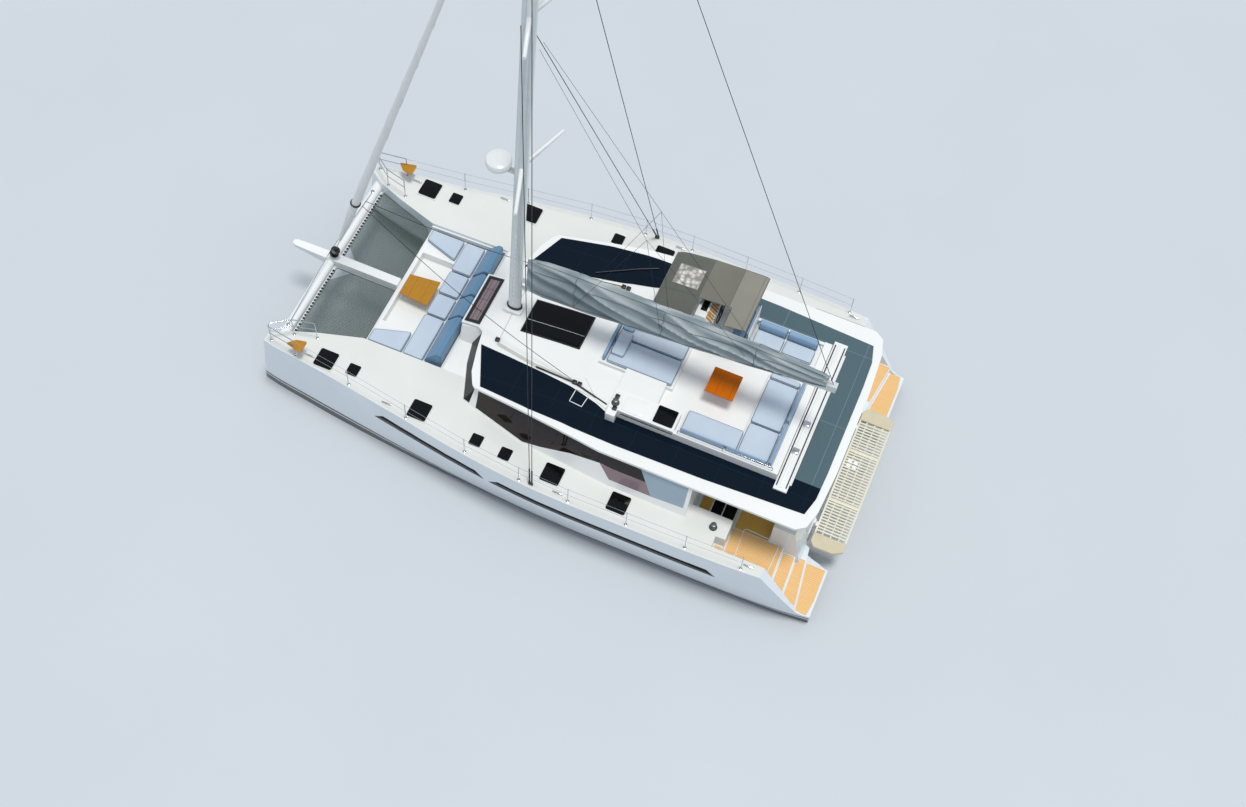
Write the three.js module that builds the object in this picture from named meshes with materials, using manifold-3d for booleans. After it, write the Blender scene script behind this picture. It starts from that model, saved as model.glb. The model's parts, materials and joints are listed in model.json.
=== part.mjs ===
// A cruising sailing catamaran with a flybridge, as an assembly of separate solids.
// Units are millimetres. +X is towards the bow, +Y to port and +Z up. The origin is on the
// centreline at the waterline, half way along the hulls.
import * as THREE from 'three';
import { mergeVertices } from 'three/addons/utils/BufferGeometryUtils.js';
import Module from 'manifold-3d';

const wasm = await Module();
wasm.setup();

// Driving dimensions
const SEAM = 0.3;                 // gap between pieces that rest on each other
const DECK_Z = 2050;              // side deck above the waterline
const BOW_DECK_Z = 2000;
const FLOOR_Z = 1150;             // saloon and cockpit floor
const UNDERSIDE_Z = 850;          // bridgedeck underside
const INNER_FACE_Y = 1950;        // inner face of each hull
const BRIDGE_FRONT_X = 5300;
const BRIDGE_AFT_X = -6750;
const CABIN_AFT_X = -3900;
const ROOF_THICKNESS = 90;
const ROOF_Z = 3090;              // flat stretch of the roof that carries the flybridge
const FLY_FLOOR = 30;             // thickness of the flybridge liner
const MAST_BASE_X = 2040;
const MAST_BASE_Z = 2870;
const MAST_TOP_Z = 22000;
const MAST_RAKE = 0.0314;         // aft, per unit of height
const STAY_Z = 18900;             // height of the forestay's and the shrouds' hounds
const BEAM_X = 7240;              // forward crossbeam
const BEAM_Z = 1700;
const BEAM_R = 140;
const CHAINPLATE_X = -220;
const CHAINPLATE_Y = 3980;

const WHITE = 0xf2f2ee;
const BLACK = 0x15171a;
const NAVY = 0x0b2742;
const STEEL = 0xb9bec2;
const CUSHION = 0xaab8c8;
const TEAK = 0xb56a2c;

const group = new THREE.Group();

// Basic shapes

function box(x0, x1, y0, y1, z0, z1) {
  const geometry = new THREE.BoxGeometry(Math.abs(x1 - x0), Math.abs(y1 - y0), Math.abs(z1 - z0));
  return geometry.translate((x0 + x1) / 2, (y0 + y1) / 2, (z0 + z1) / 2);
}

function extrude(points, depth) {
  const shape = new THREE.Shape(points.map(([u, v]) => new THREE.Vector2(u, v)));
  return new THREE.ExtrudeGeometry(shape, { depth, bevelEnabled: false, curveSegments: 8 });
}

// Outline in x, y, raised along z
function plan(points, z0, z1) {
  return extrude(points, z1 - z0).translate(0, 0, z0);
}

// Outline in x, z, run across the boat along y
function profile(points, y0, y1) {
  return extrude(points, y1 - y0).rotateX(Math.PI / 2).translate(0, y1, 0);
}

// Outline in y, z, run along the boat along x
function section(points, x0, x1) {
  const turn = new THREE.Matrix4().makeBasis(
    new THREE.Vector3(0, 1, 0), new THREE.Vector3(0, 0, 1), new THREE.Vector3(1, 0, 0));
  return extrude(points, x1 - x0).applyMatrix4(turn).translate(x0, 0, 0);
}

function rod(from, to, radius, sides = 8, endRadius = radius) {
  const a = new THREE.Vector3(...from);
  const b = new THREE.Vector3(...to);
  const geometry = new THREE.CylinderGeometry(endRadius, radius, a.distanceTo(b), sides);
  const turn = new THREE.Quaternion().setFromUnitVectors(
    new THREE.Vector3(0, 1, 0), b.clone().sub(a).normalize());
  return geometry.applyQuaternion(turn).translate((a.x + b.x) / 2, (a.y + b.y) / 2, (a.z + b.z) / 2);
}

// Closed skin through rings of equal length, capped at both ends
function loft(rings) {
  const count = rings[0].length;
  const positions = rings.flat(2);
  const index = [];
  for (let ring = 0; ring < rings.length - 1; ring += 1) {
    for (let k = 0; k < count; k += 1) {
      const next = (k + 1) % count;
      const a = ring * count + k;
      const b = ring * count + next;
      index.push(a, b, b + count, a, b + count, a + count);
    }
  }
  for (const [ring, forward] of [[0, false], [rings.length - 1, true]]) {
    const flat = rings[ring].map(([, y, z]) => new THREE.Vector2(y, z));
    const level = rings[ring].every(([, , z]) => Math.abs(z - rings[ring][0][2]) < 1);
    const outline = level ? rings[ring].map(([x, y]) => new THREE.Vector2(x, y)) : flat;
    for (const [a, b, c] of THREE.ShapeUtils.triangulateShape(outline, [])) {
      const corners = [a, b, c].map((k) => ring * count + k);
      index.push(...(forward ? corners : corners.reverse()));
    }
  }
  const geometry = new THREE.BufferGeometry();
  geometry.setAttribute('position', new THREE.Float32BufferAttribute(positions, 3));
  geometry.setIndex(index);
  return geometry;
}

// Booleans

function solid(shape) {
  if (!shape.isBufferGeometry) return shape;
  const bare = shape.clone();
  bare.deleteAttribute('normal');
  bare.deleteAttribute('uv');
  const merged = mergeVertices(bare, 0.01);
  const make = (triangles) => new wasm.Manifold(new wasm.Mesh({
    numProp: 3,
    vertProperties: new Float32Array(merged.attributes.position.array),
    triVerts: new Uint32Array(triangles),
  }));
  const triangles = Array.from(merged.index.array);
  const body = make(triangles);
  return body.volume() > 0 ? body : make(triangles.reverse());
}

function join(...shapes) {
  return shapes.map(solid).reduce((all, shape) => all.add(shape));
}

function cut(shape, ...tools) {
  return tools.map(solid).reduce((left, tool) => left.subtract(tool), solid(shape));
}

function common(...shapes) {
  return shapes.map(solid).reduce((left, shape) => left.intersect(shape));
}

function mirror(shape) {
  return solid(shape).mirror([0, 1, 0]);
}

function add(name, shape, color, roughness = 0.5, metalness = 0) {
  const body = solid(shape).getMesh();
  const geometry = new THREE.BufferGeometry();
  geometry.setAttribute('position', new THREE.Float32BufferAttribute(body.vertProperties, 3));
  geometry.setIndex(Array.from(body.triVerts));
  geometry.computeVertexNormals();
  const material = new THREE.MeshStandardMaterial({ color, roughness, metalness });
  const mesh = new THREE.Mesh(geometry, material);
  mesh.name = name;
  group.add(mesh);
}

function addPair(name, shape, color, roughness, metalness) {
  add(`${name}_port`, shape, color, roughness, metalness);
  add(`${name}_starboard`, mirror(shape), color, roughness, metalness);
}

const mastX = (z) => MAST_BASE_X - MAST_RAKE * (z - MAST_BASE_Z);

// Port hull: stations from stern to bow
// x, reverse rake of the stem, keel z, waterline half width, centre y, outer y, inner y, deck z
const STATIONS = [
  [-7500, 0, -150, 610, 3040, 3760, 2330, DECK_Z],
  [-6700, 0, -330, 640, 3070, 3920, 1950, DECK_Z],
  [-5300, 0, -560, 660, 3090, 4030, 1950, DECK_Z],
  [-2800, 0, -740, 670, 3090, 4080, 1950, DECK_Z],
  [-400, 0, -800, 660, 3080, 4080, 1950, DECK_Z],
  [1500, 0, -790, 610, 3050, 3920, 1950, DECK_Z],
  [3500, 0, -730, 520, 3010, 3620, 1950, DECK_Z],
  [5300, 0, -640, 390, 2970, 3330, 1950, BOW_DECK_Z],
  [6400, 90, -560, 240, 2960, 3190, 2290, BOW_DECK_Z],
  [7130, 180, -480, 120, 2960, 3110, 2570, BOW_DECK_Z],
  [7500, 240, -330, 25, 2960, 3040, 2830, BOW_DECK_Z],
];
const BILGE_ANGLES = [25, 50, 72, 90];
const OUTER_COLUMN = 5;
const FAIRED_COLUMNS = [2, 3, 4, OUTER_COLUMN];
const FAIRING_STEPS = 3;

// Adds stations between the given ones, with a smooth curve through the faired columns
function fair(table) {
  const slope = (k, column) => {
    const before = table[Math.max(k - 1, 0)];
    const after = table[Math.min(k + 1, table.length - 1)];
    return (after[column] - before[column]) / (after[0] - before[0]);
  };
  const between = (k, t) => table[k].map((value, column) => {
    const next = table[k + 1][column];
    if (!FAIRED_COLUMNS.includes(column)) return value + (next - value) * t;
    const run = table[k + 1][0] - table[k][0];
    const ease = t * t * (3 - 2 * t);
    const lift = run * t * (1 - t) * (slope(k, column) * (1 - t) - slope(k + 1, column) * t);
    return value + (next - value) * ease + lift;
  });
  const rows = [];
  for (let k = 0; k < table.length - 1; k += 1) {
    for (let step = 0; step < FAIRING_STEPS; step += 1) rows.push(between(k, step / FAIRING_STEPS));
  }
  return [...rows, table.at(-1)];
}
const FAIRED_STATIONS = fair(STATIONS);

function outerY(x) {
  const k = FAIRED_STATIONS.findIndex((station) => station[0] >= x);
  const [low, high] = [FAIRED_STATIONS[Math.max(k - 1, 0)], FAIRED_STATIONS[Math.max(k, 1)]];
  const t = (x - low[0]) / (high[0] - low[0]);
  return low[OUTER_COLUMN] + (high[OUTER_COLUMN] - low[OUTER_COLUMN]) * t;
}

function hullRing([x, rake, keelZ, half, centre, outer, inner, deckZ]) {
  const bilge = (side, degrees) => {
    const angle = THREE.MathUtils.degToRad(degrees);
    return [centre + side * half * Math.sin(angle), keelZ * Math.cos(angle)];
  };
  const topside = (y0, y1, z, z1) => y0 + (y1 - y0) * Math.sqrt(z / z1);
  const innerChineZ = 900;
  const points = [
    [centre, keelZ],
    ...BILGE_ANGLES.map((degrees) => bilge(1, degrees)),
    [topside(centre + half, outer, 350, deckZ), 350],
    [topside(centre + half, outer, 1000, deckZ), 1000],
    [outer, deckZ],
    [inner, deckZ],
    [inner, innerChineZ],
    [topside(centre - half, inner, 300, innerChineZ), 300],
    ...BILGE_ANGLES.slice().reverse().map((degrees) => bilge(-1, degrees)),
  ];
  return points.map(([y, z]) => [x + rake * (deckZ - Math.max(z, 0)) / deckZ, y, z]);
}

// Stern: aft deck and the three steps down to the bathing step
// x of the forward edge at the inner face and at the bulwark, tread z
const STEPS = [
  [-5000, -5000, 1260],
  [-6320, -6350, 990],
  [-6640, -6700, 720],
  [-6860, -7090, 450],
];
const STERN_X = -7600;
const PASSAGE_OUTER_Y = 2600;
const BULWARK_INNER_Y = 3700;
const COCKPIT_SIDE_Y = 2850;
const KEEL_TOP_Z = -560;

const keelOutline = [[1500, KEEL_TOP_Z], [-1900, KEEL_TOP_Z], [-1500, -1380], [800, -1380]];
const keel = profile(keelOutline, 3015, 3145);

// Saildrive, propeller and rudder places under each hull
const HULL_Y = 3085;
const DRIVE_X = -4600;
const DRIVE_BOSS_Z = -640;
const PROP_Z = -1000;
const RUDDER_X = -6350;
const RUDDER_BOSS_Z = -420;
const RUNNING_GAP = 0.5;

// Hatches in the deck: label, x, y
const BIG_HATCHES = [['h1', 5830, 2900], ['h2', 3080, 3270], ['h3', -580, 3520], ['h4', -2330, 3580]];
const SMALL_HATCHES = [[5080, 2900], [680, 3490]];
const PORT_ONLY_HATCH = [1470, 3440];
const LID_X = 490;
const LID_Y = 500;
const RIM_HEIGHT = 25;

function rim(x, y, z, dx, dy) {
  return box(x - dx / 2, x + dx / 2, y - dy / 2, y + dy / 2, z - 40, z + RIM_HEIGHT);
}

function deckAt(x) {
  return x > 5300 ? BOW_DECK_Z : Math.min(DECK_Z, DECK_Z - (x - 3500) * (DECK_Z - BOW_DECK_Z) / 1800);
}

// Block inboard of the steps, at deck height, which carries the aft post of the roof
const sternBlock = profile([[-5930, 900], [-5930, DECK_Z], [-6480, DECK_Z], [-6800, 620], [-6700, 620]],
  1000, PASSAGE_OUTER_Y);

function buildHull(hatches) {
  let hull = solid(loft(FAIRED_STATIONS.map(hullRing)));
  hull = join(hull, keel);
  for (const [inner, outer, z] of STEPS) {
    const well = plan([[inner, 1000], [inner, INNER_FACE_Y], [outer, BULWARK_INNER_Y],
      [STERN_X, BULWARK_INNER_Y], [STERN_X, 1000]], z, DECK_Z + 100);
    hull = cut(hull, cut(well, sternBlock));
  }
  hull = cut(
    hull,
    profile([[-6100, DECK_Z + 100], [-6100, DECK_Z], [-7150, 520], [-7300, 450], [STERN_X, 450],
      [STERN_X, DECK_Z + 100]], PASSAGE_OUTER_Y, 5000),
    box(CABIN_AFT_X - 50, -5000, 1000, COCKPIT_SIDE_Y, FLOOR_Z, DECK_Z + 100),
    box(-4760, -5050, 3400, BULWARK_INNER_Y, 1680, DECK_Z + 100),
  );
  for (const [x, y, dx, dy] of hatches) hull = join(hull, rim(x, y, deckAt(x), dx, dy));
  const rudderBoss = rod([RUDDER_X, HULL_Y, -200], [RUDDER_X, HULL_Y, RUDDER_BOSS_Z], 75, 16);
  const driveBoss = rod([DRIVE_X, HULL_Y, -400], [DRIVE_X, HULL_Y, DRIVE_BOSS_Z], 170, 20);
  return join(hull, rudderBoss, driveBoss);
}

const bigRims = BIG_HATCHES.map(([, x, y]) => [x, y, LID_X + 60, LID_Y + 60]);
const smallRims = SMALL_HATCHES.map(([x, y]) => [x, y, 320, 340]);
const hullPort = buildHull([...bigRims, ...smallRims, [...PORT_ONLY_HATCH, 320, 340]]);
const hullStarboard = mirror(buildHull([...bigRims, ...smallRims]));
add('hull_port', hullPort, WHITE, 0.25);
add('hull_starboard', hullStarboard, WHITE, 0.25);

for (const [label, x, y] of BIG_HATCHES) {
  const z = deckAt(x) + RIM_HEIGHT + SEAM;
  const lid = box(x - LID_X / 2, x + LID_X / 2, y - LID_Y / 2, y + LID_Y / 2, z, z + 25);
  addPair(`hatch_${label}`, lid, BLACK, 0.15);
}

// Drives and rudders under each hull
const drive = join(
  section([[HULL_Y - 50, DRIVE_BOSS_Z - SEAM], [HULL_Y + 50, DRIVE_BOSS_Z - SEAM], [HULL_Y + 30, PROP_Z],
    [HULL_Y - 30, PROP_Z]], DRIVE_X - 130, DRIVE_X + 130),
  rod([DRIVE_X - 170, HULL_Y, PROP_Z], [DRIVE_X + 190, HULL_Y, PROP_Z], 60, 12, 25),
);
addPair('saildrive', drive, 0x8d9499, 0.4, 0.6);

const PROP_FRONT_X = DRIVE_X - 170 - RUNNING_GAP;
let propeller = solid(rod([PROP_FRONT_X, HULL_Y, PROP_Z], [PROP_FRONT_X - 130, HULL_Y, PROP_Z], 55, 12, 30));
for (const angle of [0, 120, 240]) {
  const blade = box(-8, 8, -55, 55, 30, 225).rotateZ(0.6);
  blade.rotateX(THREE.MathUtils.degToRad(angle)).translate(PROP_FRONT_X - 60, HULL_Y, PROP_Z);
  propeller = join(propeller, blade);
}
addPair('propeller', propeller, 0xb08d57, 0.3, 0.9);

const RUDDER_TOP_Z = -470;
const rudder = join(
  profile([[RUDDER_X + 170, RUDDER_TOP_Z - 20], [RUDDER_X - 330, RUDDER_TOP_Z + 100], [RUDDER_X - 270, -1250],
    [RUDDER_X + 90, -1250]], HULL_Y - 30, HULL_Y + 30),
  rod([RUDDER_X, HULL_Y, RUDDER_TOP_Z - 100], [RUDDER_X, HULL_Y, RUDDER_BOSS_Z - RUNNING_GAP], 35, 12),
);
addPair('rudder', rudder, WHITE, 0.4);

// Bridgedeck between the hulls, with the guide rails of the swim platform on its aft face
const RAIL_Y = 1500;
const bridgedeck = join(
  profile([[BRIDGE_FRONT_X, 1500], [BRIDGE_FRONT_X - 300, UNDERSIDE_Z + 100],
    [BRIDGE_FRONT_X - 900, UNDERSIDE_Z], [BRIDGE_AFT_X, UNDERSIDE_Z], [BRIDGE_AFT_X, FLOOR_Z],
    [BRIDGE_FRONT_X - 350, FLOOR_Z], [BRIDGE_FRONT_X - 100, 1500]],
  -INNER_FACE_Y + SEAM, INNER_FACE_Y - SEAM),
  box(BRIDGE_AFT_X + 60, BRIDGE_AFT_X - 45, RAIL_Y - 60, RAIL_Y + 60, -260, 1050),
  box(BRIDGE_AFT_X + 60, BRIDGE_AFT_X - 45, -RAIL_Y - 60, -RAIL_Y + 60, -260, 1050),
);
add('bridgedeck', bridgedeck, WHITE, 0.3);

// Fore cockpit: seats round a well, forward of the cabin
const WELL_FLOOR_Z = 1420;
const FORE_SEAT_Z = 1780;
const WELL_HALF = 1150;
const BACKREST_AFT_X = 3190;
const forePlinth = profile([[2650, FLOOR_Z + SEAM], [4900, FLOOR_Z + SEAM], [5150, 1510],
  [BRIDGE_FRONT_X, 1510], [BRIDGE_FRONT_X, 1900], [3200, 1980], [3100, DECK_Z], [2450, DECK_Z], [2450, 1900],
  [2650, 1900]], -INNER_FACE_Y + SEAM, INNER_FACE_Y - SEAM);
const foreSeats = cut(
  forePlinth,
  box(4270, 5190, -WELL_HALF, WELL_HALF, WELL_FLOOR_Z + 100, DECK_Z + 50),
  box(BACKREST_AFT_X - 10, BRIDGE_FRONT_X + 10, -INNER_FACE_Y + 40, INNER_FACE_Y - 40, FORE_SEAT_Z,
    DECK_Z + 50),
);

const foreCushion = plan([[3710, -1890], [5270, -1890], [5270, -1500], [4290, -1180], [4290, 1180],
  [5270, 1500], [5270, 1890], [3710, 1890]], FORE_SEAT_Z + SEAM, FORE_SEAT_Z + 130);
add('fore_cushion', foreCushion, 0xc8cfd8, 0.85);

const foreBackrest = profile([[BACKREST_AFT_X, FORE_SEAT_Z + SEAM], [3700, FORE_SEAT_Z + SEAM], [3700, 1930],
  [3330, 2360], [BACKREST_AFT_X, 2360]], -1870, 1870);
add('fore_backrest', foreBackrest, 0x7d97b3, 0.85);

const foreTable = join(
  plan([[5150, -340], [4330, -440], [4330, 350], [5140, 290]], 1860, 1890),
  rod([4730, 0, WELL_FLOOR_Z + 100 + SEAM], [4730, 0, 1870], 60, 12),
);
add('fore_table', foreTable, TEAK, 0.35);

// Cabin: walls that lean in towards the roof, as a ring of panels with the windows cut
// Outline at the deck and outline at the wall's top: x, y of the port half, bow to stern
const CABIN_BASE = [[2870, 640], [2780, 950], [2640, 1560], [2270, 2540], [500, 3020], [-1900, 3230],
  [CABIN_AFT_X, 3230]];
const CABIN_TOP = [[2050, 560], [1990, 960], [1850, 1500], [1590, 2250], [300, 2480], [-1900, 2830],
  [CABIN_AFT_X, 2830]];
const WALL_TOP_Z = 3300;
const WALL = 45;
const GLASS = 14;

function fullOutline(half) {
  const starboard = half.map(([x, y]) => [x, -y]);
  return [...half, ...starboard.reverse()];
}

// Moves each edge of a convex outline inwards by the same distance
function inset(outline, distance) {
  const count = outline.length;
  const centre = new THREE.Vector2();
  for (const [x, y] of outline) centre.add(new THREE.Vector2(x / count, y / count));
  const edges = outline.map(([x, y], k) => {
    const [nx, ny] = outline[(k + 1) % count];
    const along = new THREE.Vector2(nx - x, ny - y).normalize();
    const inward = new THREE.Vector2(-along.y, along.x);
    if (inward.dot(new THREE.Vector2(centre.x - x, centre.y - y)) < 0) inward.negate();
    return { point: new THREE.Vector2(x, y).addScaledVector(inward, distance), along };
  });
  return edges.map((edge, k) => {
    const before = edges[(k + count - 1) % count];
    const gap = edge.point.clone().sub(before.point);
    const reach = gap.cross(edge.along) / before.along.cross(edge.along);
    const corner = before.point.clone().addScaledVector(before.along, reach);
    return [corner.x, corner.y];
  });
}

function frustum(distance) {
  const lower = inset(fullOutline(CABIN_BASE), distance).map(([x, y]) => [x, y, DECK_Z + SEAM]);
  const upper = inset(fullOutline(CABIN_TOP), distance).map(([x, y]) => [x, y, WALL_TOP_Z]);
  return loft([lower, upper]);
}

// Roof profile, top surface: x, z
const ROOF_TOP = [[3140, 2560], [2680, 2640], [2300, 2730], [1500, 2860], [600, 2990], [-400, ROOF_Z],
  [-6900, ROOF_Z]];
const ROOF_PLAN = [[3130, 790], [2660, 800], [2500, 900], [2380, 1500], [2230, 2080], [2060, 2400],
  [1960, 2490], [-460, 2860], [-1500, 2980], [-6450, 2980], [-6680, 2820], [-6800, 2350], [-6865, 1200]];

function underRoof(drop) {
  const line = ROOF_TOP.map(([x, z]) => [x, z - ROOF_THICKNESS - drop]);
  return profile([[3800, line[0][1]], ...line, [-8000, line.at(-1)[1]], [-8000, 0], [3800, 0]], -4000, 4000);
}

const cabinSpace = underRoof(SEAM);
const wallShell = common(cut(frustum(0), frustum(WALL)), cabinSpace);
const glassShell = common(cut(frustum(0), frustum(GLASS)), cabinSpace);
const WINDOW_LOW_Z = DECK_Z + 35;
// The side window narrows to a neck, drops again as a pane beside the door and ends at the aft wall
const sideWindow = (m) => profile([[1880 - m, WINDOW_LOW_Z + m], [1880 - m, 2660 - m], [1500, 2730 - m],
  [600, 2850 - m], [-400, 2940 - m], [-3800 + m, 2940 - m], [-3800 + m, 2290 + m], [-2970, 2250 + m],
  [-1900, 2250 + m], [-1580, 2600 + m], [-810, 2450 + m], [-20, 2190 + m], [440, WINDOW_LOW_Z + m]],
1800, 4000);
const frontWindow = (m) => profile([[3400, WINDOW_LOW_Z + m], [2080 + m, WINDOW_LOW_Z + m],
  [1980 + m, 2620 - m], [2300, 2590 - m], [2680, 2500 - m], [3400, 2400 - m]], -2600, 2600);

const doorway = box(CABIN_AFT_X - 100, CABIN_AFT_X + 100, -INNER_FACE_Y + 1, INNER_FACE_Y - 1, FLOOR_Z, 3200);
const cabinWalls = cut(wallShell, sideWindow(0), mirror(sideWindow(0)), frontWindow(0), doorway);
add('cabin_walls', cabinWalls, WHITE, 0.3);
addPair('side_glass', common(glassShell, sideWindow(SEAM)), 0x3a2f2d, 0.08);
add('windscreen', common(glassShell, frontWindow(SEAM)), 0x1c2226, 0.08);

// Coaming of the fore cockpit: a mound that rises from the deck to the coachroof's front window
const MOUND_FRONT_X = 3100;
const MOUND_AFT_X = 2450;
const moundRing = (half, z) => [[MOUND_FRONT_X, -half, z], [MOUND_FRONT_X, half, z],
  [MOUND_AFT_X, half, z], [MOUND_AFT_X, -half, z]];
const foreMound = cut(
  common(loft([moundRing(1000, DECK_Z - 20), moundRing(790, 2570)]), cabinSpace),
  frustum(-SEAM),
);
add('fore_cockpit', join(foreSeats, foreMound), WHITE, 0.35);

// Aft bulkhead with the saloon doorway, a fixed pane to port and the sliding door to starboard
const ROOF_UNDER_Z = ROOF_Z - ROOF_THICKNESS;
const DOOR_HALF = 1100;
const doorTrack = box(
  CABIN_AFT_X - 20, CABIN_AFT_X - 75, -DOOR_HALF - 60, DOOR_HALF + 60, FLOOR_Z + SEAM, FLOOR_Z + 20);
const bulkheadWall = box(CABIN_AFT_X - 25, CABIN_AFT_X + 25, -INNER_FACE_Y + 1.5, INNER_FACE_Y - 1.5,
  FLOOR_Z + SEAM, ROOF_UNDER_Z - SEAM);
const bulkhead = join(doorTrack, cut(
  bulkheadWall,
  box(CABIN_AFT_X - 60, CABIN_AFT_X + 60, -DOOR_HALF, 0, FLOOR_Z + 50, ROOF_UNDER_Z - 120),
));
add('aft_bulkhead', bulkhead, BLACK, 0.2);
const saloonDoor = box(
  CABIN_AFT_X - 31, CABIN_AFT_X - 66, -DOOR_HALF - 30, 30, FLOOR_Z + 20 + RUNNING_GAP, ROOF_UNDER_Z - 8);
add('saloon_door', saloonDoor, 0x20262b, 0.1);

// Saloon furniture that shows through the glass
const LINING = 0xd8d2c6;
add('saloon_seat', box(600, 2600, -1700, 1900, FLOOR_Z + SEAM, 1600), LINING, 0.6);
add('saloon_galley', box(-2600, 600 - SEAM, -1900, -1300, FLOOR_Z + SEAM, 2040), LINING, 0.6);

// Cockpit aft of the saloon
const cockpitBench = join(
  box(BRIDGE_AFT_X + 20, -6100, -INNER_FACE_Y + 5, INNER_FACE_Y - 5, FLOOR_Z + SEAM, 1560),
  box(BRIDGE_AFT_X + 20, -6560, -INNER_FACE_Y + 5, INNER_FACE_Y - 5, 1500, 1860),
);
add('cockpit_bench', cockpitBench, WHITE, 0.4);
const cockpitTable = join(
  box(-4700, -5800, 100, 1500, 1830, 1870),
  box(-5000, -5500, 600, 1000, FLOOR_Z + SEAM, 1840),
);
add('cockpit_table', cockpitTable, TEAK, 0.4);

// Roof with its two aft posts
const POST_X = -6310;
const roofBody = common(
  profile([...ROOF_TOP, ...ROOF_TOP.map(([x, z]) => [x, z - ROOF_THICKNESS]).reverse()], -4000, 4000),
  plan(fullOutline(ROOF_PLAN), 2000, 3500),
);
const POST_FOOT_Z = DECK_Z + SEAM;
const roofPost = profile([[POST_X - 130, POST_FOOT_Z], [POST_X + 60, POST_FOOT_Z],
  [POST_X + 260, ROOF_UNDER_Z + 20], [POST_X - 60, ROOF_UNDER_Z + 20]], 2150, 2230);
const skylightPlan = (m) => [[1620 - m, -430 + m], [1620 - m, 590 - m], [30 + m, 590 - m],
  [30 + m, -430 + m]];
const frontWindowPlan = (m) => [[3040 - m, -700 + m], [3040 - m, 700 - m], [2690 + m, 700 - m],
  [2690 + m, -700 + m]];
const roofSlice = (low, high) => profile([...ROOF_TOP.map(([x, z]) => [x, z + high]),
  ...ROOF_TOP.map(([x, z]) => [x, z + low]).reverse()], -4000, 4000);
const hardtop = cut(
  join(roofBody, roofPost, mirror(roofPost)),
  plan(skylightPlan(0), 2000, 3500),
  plan(frontWindowPlan(0), 2000, 3500),
);
add('hardtop', hardtop, WHITE, 0.25);
add('skylight', common(plan(skylightPlan(SEAM), 2000, 3500), roofSlice(-40, 15)), BLACK, 0.1);
add('front_window', common(plan(frontWindowPlan(SEAM), 2000, 3500), roofSlice(-40, 15)), 0x54403c, 0.1);

// Roof panels run down both sides of the flybridge and across the stern
const PANEL_INNER = [[1080, 1460], [-170, 1640], [-960, 1840], [-1280, 1970], [-5990, 1970]];
const PANEL_OUTER = [[2350, 1280], [1840, 2420], [480, 2600], [-700, 2680], [-1800, 2700], [-4000, 2660],
  [-6520, 2530], [-6640, 2050], [-6665, 1300]];
const toStarboard = (half) => half.map(([x, y]) => [x, -y]);
const panelPlan = [...PANEL_OUTER, ...toStarboard(PANEL_OUTER).reverse(), ...toStarboard(PANEL_INNER),
  ...[...PANEL_INNER].reverse()];
add('roof_panels', common(plan(panelPlan, 2000, 3500), roofSlice(SEAM, 14)), NAVY, 0.2);

// Flybridge: liner, coamings and seat plinths in one moulding
const FLY_BASE = ROOF_Z + SEAM;
const FLY_SEAT_Z = 3240;
const COAMING_Z = 3360;
const COAMING_Y = 1965;
const FLY_AFT = -5600;
const flyFloor = plan([[-450, 1300], [-450, -1300], [-960, -1790], [-1400, -1950], [FLY_AFT, -1950],
  [FLY_AFT, 1950], [-1400, 1950], [-960, 1790]], FLY_BASE, ROOF_Z + FLY_FLOOR);
const flyMoulding = join(
  flyFloor,
  box(-560, -2490, -790, 790, FLY_BASE, FLY_SEAT_Z),
  box(-1290, -2960, 1390, COAMING_Y, FLY_BASE, 3420),
  box(-1290, -2330, 785, 1400, FLY_BASE, 3400),
  box(-1300, -1540, 1500, 2150, ROOF_Z + 14 + SEAM, 3400),
  box(-2950, FLY_AFT, 1870, COAMING_Y, FLY_BASE, COAMING_Z),
  box(-3040, FLY_AFT, 1160, 1880, FLY_BASE, FLY_SEAT_Z),
  box(-4470, FLY_AFT, -650, 1880, FLY_BASE, FLY_SEAT_Z),
  box(-5410, FLY_AFT, -COAMING_Y, COAMING_Y, FLY_BASE, COAMING_Z),
  box(-3730, FLY_AFT, -1890, -1200, FLY_BASE, FLY_SEAT_Z),
  box(-1400, FLY_AFT, -COAMING_Y, -1885, FLY_BASE, 3330),
);
add('fly_moulding', flyMoulding, WHITE, 0.35);

const CUSHION_Z = FLY_SEAT_Z + 120;
const BACK_Z = 3520;
add('sunbed_cushion', box(-600, -2450, -765, 765, FLY_SEAT_Z + SEAM, FLY_SEAT_Z + 105), CUSHION, 0.85);
const loungeCushion = join(
  plan([[-3060, 1170], [-4480, 1170], [-4480, -640], [-5300, -640], [-5300, 1790], [-3060, 1790]],
    FLY_SEAT_Z + SEAM, CUSHION_Z),
  box(-3060, -5395, 1780, 1860, FLY_SEAT_Z + SEAM, BACK_Z - 20),
  box(-5290, -5395, -640, 1860, FLY_SEAT_Z + SEAM, BACK_Z),
);
add('lounge_cushion', loungeCushion, CUSHION, 0.85);
const setteeCushion = join(
  box(-3740, -5300, -1660, -1210, FLY_SEAT_Z + SEAM, CUSHION_Z),
  box(-3740, -5300, -1875, -1650, FLY_SEAT_Z + SEAM, BACK_Z),
);
add('settee_cushion', setteeCushion, CUSHION, 0.85);

const FLY_TABLE_Z = 3600;
const flyTable = join(
  box(-3240, -3960, -20, 720, FLY_TABLE_Z, FLY_TABLE_Z + 30),
  rod([-3600, 350, ROOF_Z + FLY_FLOOR + SEAM], [-3600, 350, FLY_TABLE_Z + 5], 55, 12),
);
add('fly_table', flyTable, 0xd07018, 0.3);

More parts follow.
